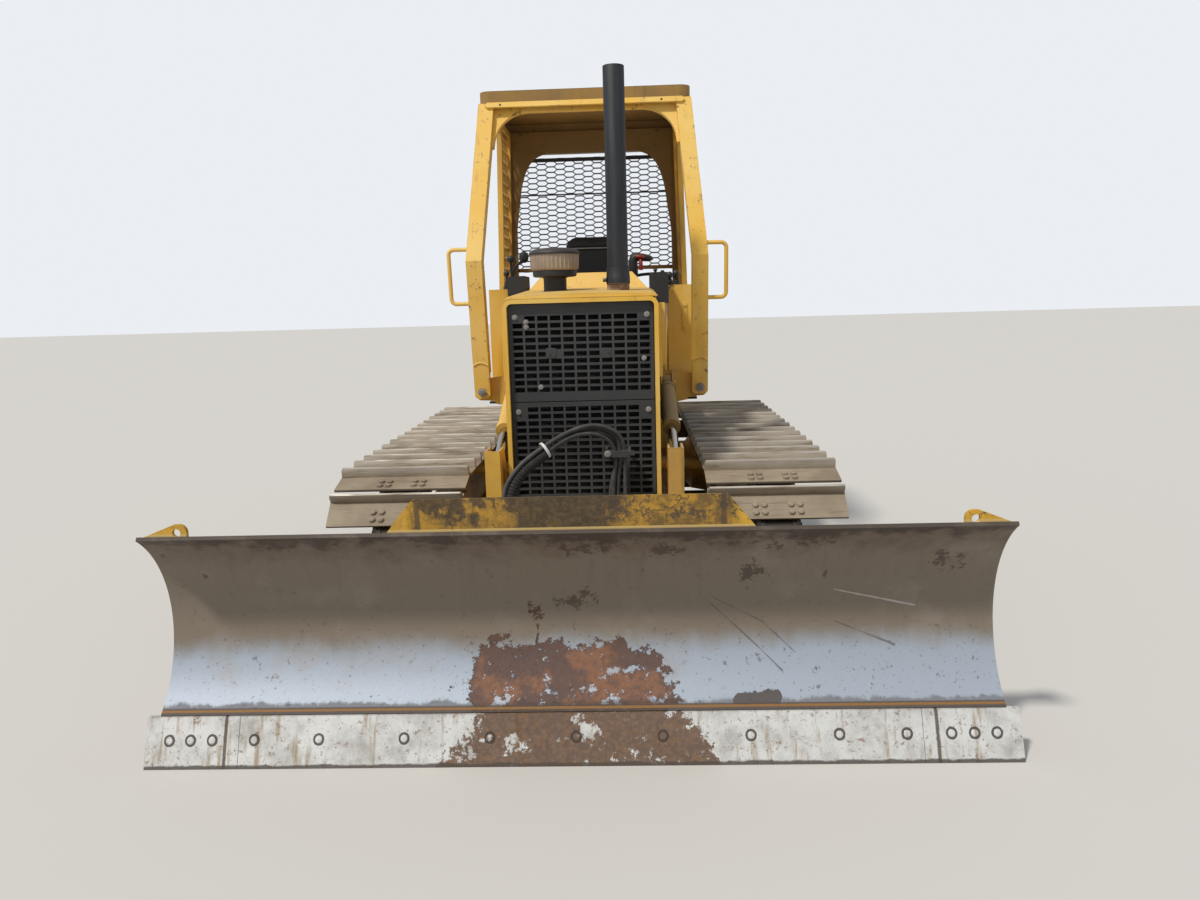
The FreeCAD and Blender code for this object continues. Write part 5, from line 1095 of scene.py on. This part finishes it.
def route_line(points):
    """Points along the smooth spline whose control points are given: its mesh with no bevel."""
    curve = bpy.data.curves.new("hose_line", "CURVE")
    curve.dimensions = "3D"
    curve.resolution_u = 10
    spline = curve.splines.new("NURBS")
    spline.points.add(len(points) - 1)
    spline.points.foreach_set("co", np.column_stack([points, np.ones(len(points))]).ravel())
    spline.order_u = 3
    spline.use_endpoint_u = True
    guide = bpy.data.objects.new("hose_line", curve)
    scene.collection.objects.link(guide)
    line = bpy.data.meshes.new_from_object(guide)
    path = np.empty(len(line.vertices) * 3)
    line.vertices.foreach_get("co", path)
    bpy.data.objects.remove(guide)
    return path.reshape(-1, 3)


def flexed(piece):
    """Bakes the piece's placement into its mesh; the piece rides on no body."""
    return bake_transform(piece)


hose_lines = [route_line(hose_route + offset) for offset in hose_offset]
hoses = [flexed(show("hose_%d" % (number + 1), None, hose_rubber,
                     tube(line, hose_diameter / 2, 14, (0, 1, 0))))
         for number, line in enumerate(hose_lines)]


def even_steps(path, spacing):
    """The same path with its points at equal distances along it."""
    along = np.concatenate([[0], np.cumsum(np.linalg.norm(np.diff(path, axis=0), axis=1))])
    want = np.linspace(0, along[-1], int(along[-1] / spacing) + 2)
    return np.column_stack([np.interp(want, along, path[:, k]) for k in range(3)])


# Hose sleeve, tie, clamp bolts and end fittings: a spiral-wound sleeve round the two lower
# hoses, a white tie where it ends, and swaged steel ends on the shelf and on the push frame.
lower_pair = (hose_lines[0] + hose_lines[1]) / 2
sleeve_line = even_steps(lower_pair, 0.0024)
along_x = sleeve_line[:, 0]
sleeve_line = sleeve_line[(along_x < -0.150) & (sleeve_line[:, 2] > 0.745)]
turns = np.arange(len(sleeve_line)) * 0.0024 / 0.0145
winding = 0.0222 + 0.0032 * np.abs(np.cos(math.pi * turns))
winding[:3] = (0.017, 0.021, 0.0232)
sleeve_rubber = Finish("sleeve_rubber")
sleeve_cloud = sleeve_rubber.noise(30.0, 6.0)
sleeve_rubber.feed(Base_Color=sleeve_rubber.mix((0.018, 0.017, 0.017), (0.055, 0.046, 0.038),
                                                sleeve_cloud.step(0.50, 0.80)),
                   Roughness=0.7 + sleeve_cloud * 0.2)
sleeve_rubber.bump(sleeve_rubber.noise(160.0, 4.0), 0.5, 0.0012)
sleeve = flexed(show("hose_sleeve", None, sleeve_rubber,
                     tube(sleeve_line, winding, 18, (0, 1, 0)), 60.0))


def hoop(reach_x, reach_y, width, thick, sides=28):
    """Closed band about its own z: an ellipse with a flat section, joined end to end."""
    angle = np.arange(sides) * 2 * math.pi / sides
    loops = [np.column_stack([(reach_x + out) * np.cos(angle), (reach_y + out) * np.sin(angle),
                              np.full(sides, rise)])
             for out, rise in ((0, -width / 2), (thick, -width / 2), (thick, width / 2),
                               (0, width / 2))]
    points, faces = rings(loops + loops[:1], capped=False)
    return points, faces


every_hose = np.mean([even_steps(line, 0.01)[:100] for line in hose_lines], 0)
tie_at = int(np.argmin(np.abs(every_hose[:, 0] + 0.158) + (every_hose[:, 2] < 0.9) * 9.0))
tie_way = every_hose[tie_at + 1] - every_hose[tie_at - 1]
tie_way /= np.linalg.norm(tie_way)
tie_flat = np.cross(tie_way, (0, 1, 0))
tie_flat /= np.linalg.norm(tie_flat)
tie_white = Finish("tie_white", Roughness=0.45)
tie_cloud = tie_white.noise(40.0, 4.0)
tie_white.feed(Base_Color=tie_white.mix((0.74, 0.73, 0.70), (0.52, 0.49, 0.44),
                                        tie_cloud.step(0.45, 0.7)))
points, faces = hoop(0.036, 0.024, 0.012, 0.0025)
work = repeat((points, faces), every_hose[tie_at], tie_flat, np.cross(tie_way, tie_flat), tie_way)
tie = flexed(show("hose_tie", None, tie_white, work))

clamp_low, clamp_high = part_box("hose_clamp")
clamp_bolt = repeat(bolt_head(0.0125, 0.012, 1.3), [(clamp_low[0] + 0.012, clamp_low[1] - 0.0002,
                                                    0.942)], *facing_front)
clamp_tab = repeat(plate(0.015, 0.011, 0.003, 0.004), (clamp_high[0] + 0.004, clamp_low[1] - 0.0020,
                                                      0.944), *facing_front)
show("clamp_bolt", "tractor", bolt_steel, clamp_bolt)
show("clamp_tab", "tractor", charcoal, clamp_tab)
dress(charcoal, "hose_clamp")

ferrule = wheel([(0, 0.0125), (0.012, 0.0125), (0.013, 0.0115), (0.036, 0.0115), (0.038, 0.0100)],
                14)
near_ends = hose_route[0] + hose_offset[:, 0]
far_ends = hose_route[-1] + hose_offset[:, -1]
ends = show("hose_ends", "tractor", bolt_steel, repeat(ferrule, near_ends, *upwards))
low_ends = show("hose_low_ends", "c_frame", bolt_steel, repeat(ferrule, far_ends, *upwards))
for number, (hose, line) in enumerate(zip(hoses, hose_lines)):
    [sleeve, tie, ends, low_ends] if number == 0 else []
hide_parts("hoses")


# Blade: rolled moldboard ground bright by earth low down and stained above, with rust where
# paint went last. Ribs and boxes behind it are painted.
# Its blue-grey low down is a painted sky reflection, and its upper part holds painted shade.
def off_line(x, z, start, end):
    """Distance, seen from the front, to a straight line between two points (x, z): the foot of
    the perpendicular is held between the two ends."""
    run, rise = end[0] - start[0], end[1] - start[1]
    along = ((x - start[0]) * run + (z - start[1]) * rise) / (run * run + rise * rise)
    along = along.math("MAXIMUM", 0.0).math("MINIMUM", 1.0)
    aside = x - start[0] - along * run
    above = z - start[1] - along * rise
    return (aside * aside + above * above).math("SQRT")


def stain(x, z, middle, half, noise):
    """Spatter that is dense in the middle of an ellipse and thins out to its edge: a noise is cut
    off at a level that rises with the distance from the middle."""
    across, height = (x - middle[0]) / half[0], (z - middle[1]) / half[1]
    level = (across * across + height * height).math("MINIMUM", 3.0) * 0.10 - 0.02
    return (noise - 0.5 - level).step(0.0, 0.018)


def blade_steel():
    """Steel by height: blue-grey below, a painted sky reflection; dull grey-brown above, painted shade
    with stains. A rust patch with a ragged edge lies low in the middle; stains, specks, scratches
    and a weld line are set one by one."""
    f = Finish("blade_steel")
    x, z = f.axis("X"), f.axis("Z")
    cloud = f.noise(2.2, 6.0, 0.60)
    blotch = f.noise(8.0, 8.0, 0.72)
    fine = f.noise(55.0, 6.0, 0.75)
    drip = f.noise(1.0, 6.0, 0.65, stretch=(26.0, 4.0, 3.0))
    up = z + (cloud - 0.5) * 0.13 + (drip - 0.5) * 0.035 + (blotch - 0.5) * 0.035
    # Blue-grey below: a painted sky reflection on steel ground bright. Grey-brown above: painted shade and
    # a painted ground reflection where the face turns down, with stains.
    base = f.mix((0.355, 0.400, 0.465), (0.215, 0.174, 0.130), up.step(0.320, 0.430))
    base = f.mix(base, (0.155, 0.122, 0.095), drip.step(0.50, 0.76) * up.step(0.40, 0.70) * 0.5)
    # Darker towards the top edge in two bands: painted shade under the curl, then a near black strip along
    # the top.
    base = f.mix(base, (0.150, 0.105, 0.075), (z + (blotch - 0.5) * 0.30).step(0.690, 0.790) * 0.7)
    base = f.mix(base, (0.055, 0.040, 0.030), (z + (blotch - 0.5) * 0.34).step(0.775, 0.825) * 0.85)
    base = f.mix(base, (0.335, 0.285, 0.235), f.noise(5.0, 5.0, shift=7.0).step(0.52, 0.75) * 0.35)
    specks = f.noise(34.0, 6.0, 0.75, shift=2.0)
    base = f.mix(base, (0.10, 0.078, 0.062),
                 specks.step(0.60, 0.65) * (0.35 + up.step(0.50, 0.25) * 0.4))
    pits = f.noise(75.0, 4.0, 0.7, shift=13.0).step(0.635, 0.675) * up.step(0.60, 0.40)
    base = f.mix(base, (0.120, 0.090, 0.070), pits * 0.7)
    spatter = f.noise(12.0, 5.0, 0.6, stretch=(1.6, 1.0, 0.8), shift=4.0)
    base = f.mix(base, (0.070, 0.048, 0.036), spatter.step(0.66, 0.71) * z.step(0.46, 0.62) * 0.75)
    splash = f.noise(21.0, 8.0, 0.78, shift=15.0)
    dark = 0.0
    for middle, half in (((0.036, 0.765), (0.130, 0.045)), ((0.314, 0.748), (0.095, 0.040)),
                         ((0.781, 0.778), (0.160, 0.045)), ((1.334, 0.675), (0.075, 0.055)),
                         ((0.640, 0.650), (0.065, 0.075)), ((0.010, 0.545), (0.110, 0.045))):
        dark = stain(x, z, middle, half, splash) + dark
    base = f.mix(base, (0.070, 0.046, 0.034), dark.step(0.0, 1.0) * 0.75)

    across, height = (x + 0.030) / 0.372, (z - 0.268 + x * 0.045) / 0.128
    across, height = across * across, height * height
    torn = f.noise(11.0, 8.0, 0.72, shift=17.0)
    away = across * across + height * height + (blotch - 0.5) * 4.2 + (torn - 0.5) * 5.0
    away = away + (z - 0.268) * 3.0
    islands = f.noise(15.0, 6.0, 0.7, shift=11.0).step(0.600, 0.575)
    patch = away.step(1.00, 0.90) * islands
    stem = off_line(x, z, (-0.144, 0.440), (-0.150, 0.375)) + (torn - 0.5) * 0.07
    knob = stain(x, z, (-0.142, 0.503), (0.045, 0.042), splash)
    rusty = (patch + stem.step(0.011, 0.007) + knob).step(0.0, 1.0)
    rust = f.mix((0.110, 0.052, 0.032), (0.225, 0.092, 0.036),
                 f.noise(7.0, 5.0, shift=9.0).step(0.47, 0.60))
    rust = f.mix(rust, (0.070, 0.035, 0.024), fine.step(0.46, 0.66) * 0.7)
    rust = f.mix(rust, (0.062, 0.034, 0.026), away.step(0.55, 0.90) * 0.8)
    base = f.mix(base, rust, rusty * (0.94 - specks.step(0.40, 0.30) * 0.4))

    knock = off_line(x, z, (0.580, 0.196), (0.720, 0.206)) + (torn - 0.5) * 0.06
    knock = knock.step(0.021, 0.017)
    foot = (z + (blotch - 0.5) * 0.05 + (drip - 0.5) * 0.03).step(0.206, 0.192)
    foot = (foot * 0.6 + knock).step(0.0, 1.0)
    base = f.mix(base, (0.060, 0.038, 0.027), foot * 0.88)
    seam = z + (fine - 0.5) * 0.004
    base = f.mix(base, (0.075, 0.052, 0.038), seam.step(0.190, 0.187) * 0.85)
    base = f.mix(base, (0.25, 0.125, 0.038), (seam - 0.1815).math("ABSOLUTE").step(0.0038, 0.0024))

    wander = (blotch - 0.5) * 0.016 + (fine - 0.5) * 0.003
    cut = 0.0
    for start, end in (((0.458, 0.552), (0.752, 0.276)), ((0.491, 0.547), (0.685, 0.445)),
                       ((0.685, 0.445), (0.803, 0.334)), ((0.955, 0.440), (1.164, 0.356))):
        cut = (off_line(x, z, start, end) + wander).step(0.0042, 0.0014) + cut
    base = f.mix(base, (0.080, 0.062, 0.052), cut.step(0.0, 1.0) * 0.6)
    shine = (off_line(x, z, (0.949, 0.563), (1.240, 0.497)) + wander).step(0.0040, 0.0014)
    base = f.mix(base, (0.56, 0.54, 0.50), shine * 0.6)
    dull = (rusty + foot).step(0.0, 1.0)
    f.feed(Base_Color=base, Metallic=(1 - dull) * (0.25 - up.step(0.30, 0.50) * 0.12),
           Roughness=0.54 + up.step(0.32, 0.55) * 0.12 + dull * 0.22 + fine * 0.06)
    f.bump(fine * 0.4 + blotch * 0.5 + cloud * 1.6 - rusty * 0.6, 0.28, 0.005)
    return f


bolt_x = (0.0, 0.310, 0.621, 0.932, 1.168, 1.323, 1.403, 1.481)
bolt_z = 0.093


def edge_steel():
    """Cutting edge: pale worn steel with rust specks that have run down, a ragged brown patch
    that widens downwards, dark rings round the bolts and a dark ground strip at the bottom."""
    f = Finish("edge_steel")
    x, z = f.axis("X"), f.axis("Z")
    blotch = f.noise(7.0, 8.0, 0.72)
    fine = f.noise(60.0, 6.0, 0.75)
    drip = f.noise(1.0, 6.0, 0.65, stretch=(34.0, 4.0, 5.0))
    base = f.mix((0.70, 0.70, 0.68), (0.42, 0.405, 0.375), blotch.step(0.40, 0.72))
    base = f.mix(base, (0.30, 0.195, 0.080), drip.step(0.52, 0.70) * 0.7)
    across = (x - 0.017) / (0.500 - z * 0.75)
    across = across * across
    edge = across * across + (blotch - 0.5) * 3.6 + (fine - 0.5) * 1.2
    flakes = f.noise(11.0, 7.0, 0.75, shift=5.0).step(0.600, 0.565)
    patch = edge.step(1.0, 0.88) * flakes
    brown = f.mix((0.105, 0.060, 0.038), (0.185, 0.100, 0.052), fine.step(0.40, 0.64))
    base = f.mix(base, brown, patch * 0.95)
    specks = f.noise(30.0, 6.0, 0.75, shift=6.0)
    base = f.mix(base, (0.22, 0.110, 0.040), specks.step(0.585, 0.635) * 0.7)
    pits = f.noise(80.0, 4.0, 0.7, shift=12.0).step(0.615, 0.655)
    base = f.mix(base, (0.16, 0.105, 0.065), pits * 0.7)
    side, height = x.math("ABSOLUTE"), (z - bolt_z) * (z - bolt_z)
    ring = 1.0
    for place in bolt_x:
        off = side - place
        ring = (off * off + height).math("SQRT").math("MINIMUM", ring)
    rim = (ring + (fine - 0.5) * 0.005 - 0.0165).math("ABSOLUTE").step(0.0050, 0.0030)
    base = f.mix(base, (0.050, 0.036, 0.030), rim * 0.9)
    joint = (side - 1.275 + (fine - 0.5) * 0.008).math("ABSOLUTE").step(0.008, 0.004)
    base = f.mix(base, (0.070, 0.042, 0.028), joint * 0.85)
    base = f.mix(base, (0.075, 0.058, 0.046), (z + (blotch - 0.5) * 0.035).step(0.016, 0.009) * 0.9)
    f.feed(Base_Color=base, Metallic=(1 - patch) * 0.25, Roughness=0.50 + patch * 0.28 + fine * 0.1)
    f.bump(fine * 0.5 + blotch - patch * 0.4, 0.35, 0.004)
    return f


blade_face = blade_steel()
blade_edge = edge_steel()


def spill_paint():
    """Yellow between the two lips under a coat that differs along the guard: mottled on the
    left, grey-brown in the middle, cracked in dark roots on the right. The folds are dark, and
    a pale line along the lower lip is a painted highlight."""
    f = Finish("spill_paint")
    x, z = f.axis("X"), f.axis("Z")
    coat = f.noise(7.0, 8.0, 0.70)
    mottle = f.noise(17.0, 7.0, 0.72, shift=3.0)
    drip = f.noise(1.0, 6.0, 0.68, stretch=(22.0, 6.0, 5.0))
    fine = f.noise(60.0, 5.0, 0.7)
    base = f.mix((0.44, 0.235, 0.022), (0.19, 0.108, 0.022), mottle.step(0.38, 0.62))
    base = f.mix((0.66, 0.37, 0.035), base, x.math("ABSOLUTE").step(0.600, 0.540) * 0.9 + 0.1)
    brown = f.mix((0.050, 0.034, 0.019), (0.100, 0.071, 0.040), fine.step(0.40, 0.65))
    wavy = x + (coat - 0.5) * 0.22
    middle = wavy.step(-0.250, -0.130) * wavy.step(0.210, 0.100)
    patchy = (coat * 0.5 + mottle * 0.9 + drip * 0.6 + (z - 0.910) * 1.2).step(0.90, 1.06)
    share = patchy * (0.85 - x.step(0.10, 0.25) * 0.50)
    share = (share + middle * (0.55 + coat * 0.6)).step(0.0, 1.0)
    share = share * (0.25 + x.math("ABSOLUTE").step(0.600, 0.545) * 0.75)
    base = f.mix(base, brown, share * 0.92)
    roots = (f.noise(10.0, 6.0, 0.62, shift=8.0) - 0.5).math("ABSOLUTE").step(0.020, 0.008)
    roots = roots * (0.35 + x.step(0.05, 0.20) * 0.65) * z.step(0.864, 0.885)
    base = f.mix(base, (0.062, 0.044, 0.032), roots * 0.85)
    fold = (x.math("ABSOLUTE") - 0.530 + (coat - 0.5) * 0.02).math("ABSOLUTE").step(0.0130, 0.0070)
    base = f.mix(base, (0.070, 0.045, 0.028), fold * 0.8)
    base = f.mix(base, (0.050, 0.036, 0.026), (z + (coat - 0.5) * 0.03).step(0.970, 0.980) * 0.7)
    # A pale line along the lower lip: a painted highlight.
    base = f.mix(base, (0.74, 0.52, 0.200), z.step(0.8600, 0.8575) * 0.85)
    f.feed(Base_Color=base, Roughness=0.55 + share * 0.25 + fine * 0.1)
    f.bump(coat + fine * 0.3, 0.3, 0.004)
    return f


dress(blade_face, "moldboard")
dress(blade_edge, "cutting_edge", "end_bits")
dress(spill_paint(), "top_guard")
dress(dirty_yellow, "blade_back")

edge_top_y, edge_top_z = -2.082, 0.168
edge_tip_y = -2.150
edge_lean = (edge_top_y - edge_tip_y) / edge_top_z
edge_normal = np.array([0, -1.0, edge_lean])
edge_normal /= np.linalg.norm(edge_normal)
bolt_row = sorted({side * x for x in bolt_x for side in (-1, 1)})
plow_bolts = [(x, edge_tip_y + edge_lean * bolt_z, bolt_z) for x in bolt_row]
up_edge = np.cross(edge_normal, (1, 0, 0))
plow_head = wheel([(-0.010, 0.013), (0.0005, 0.0138), (0.0035, 0.0105), (0.0042, 0.003)], 20)
show("plow_bolts", "blade", blade_edge,
     repeat(plow_head, plow_bolts, (1, 0, 0), up_edge, edge_normal))
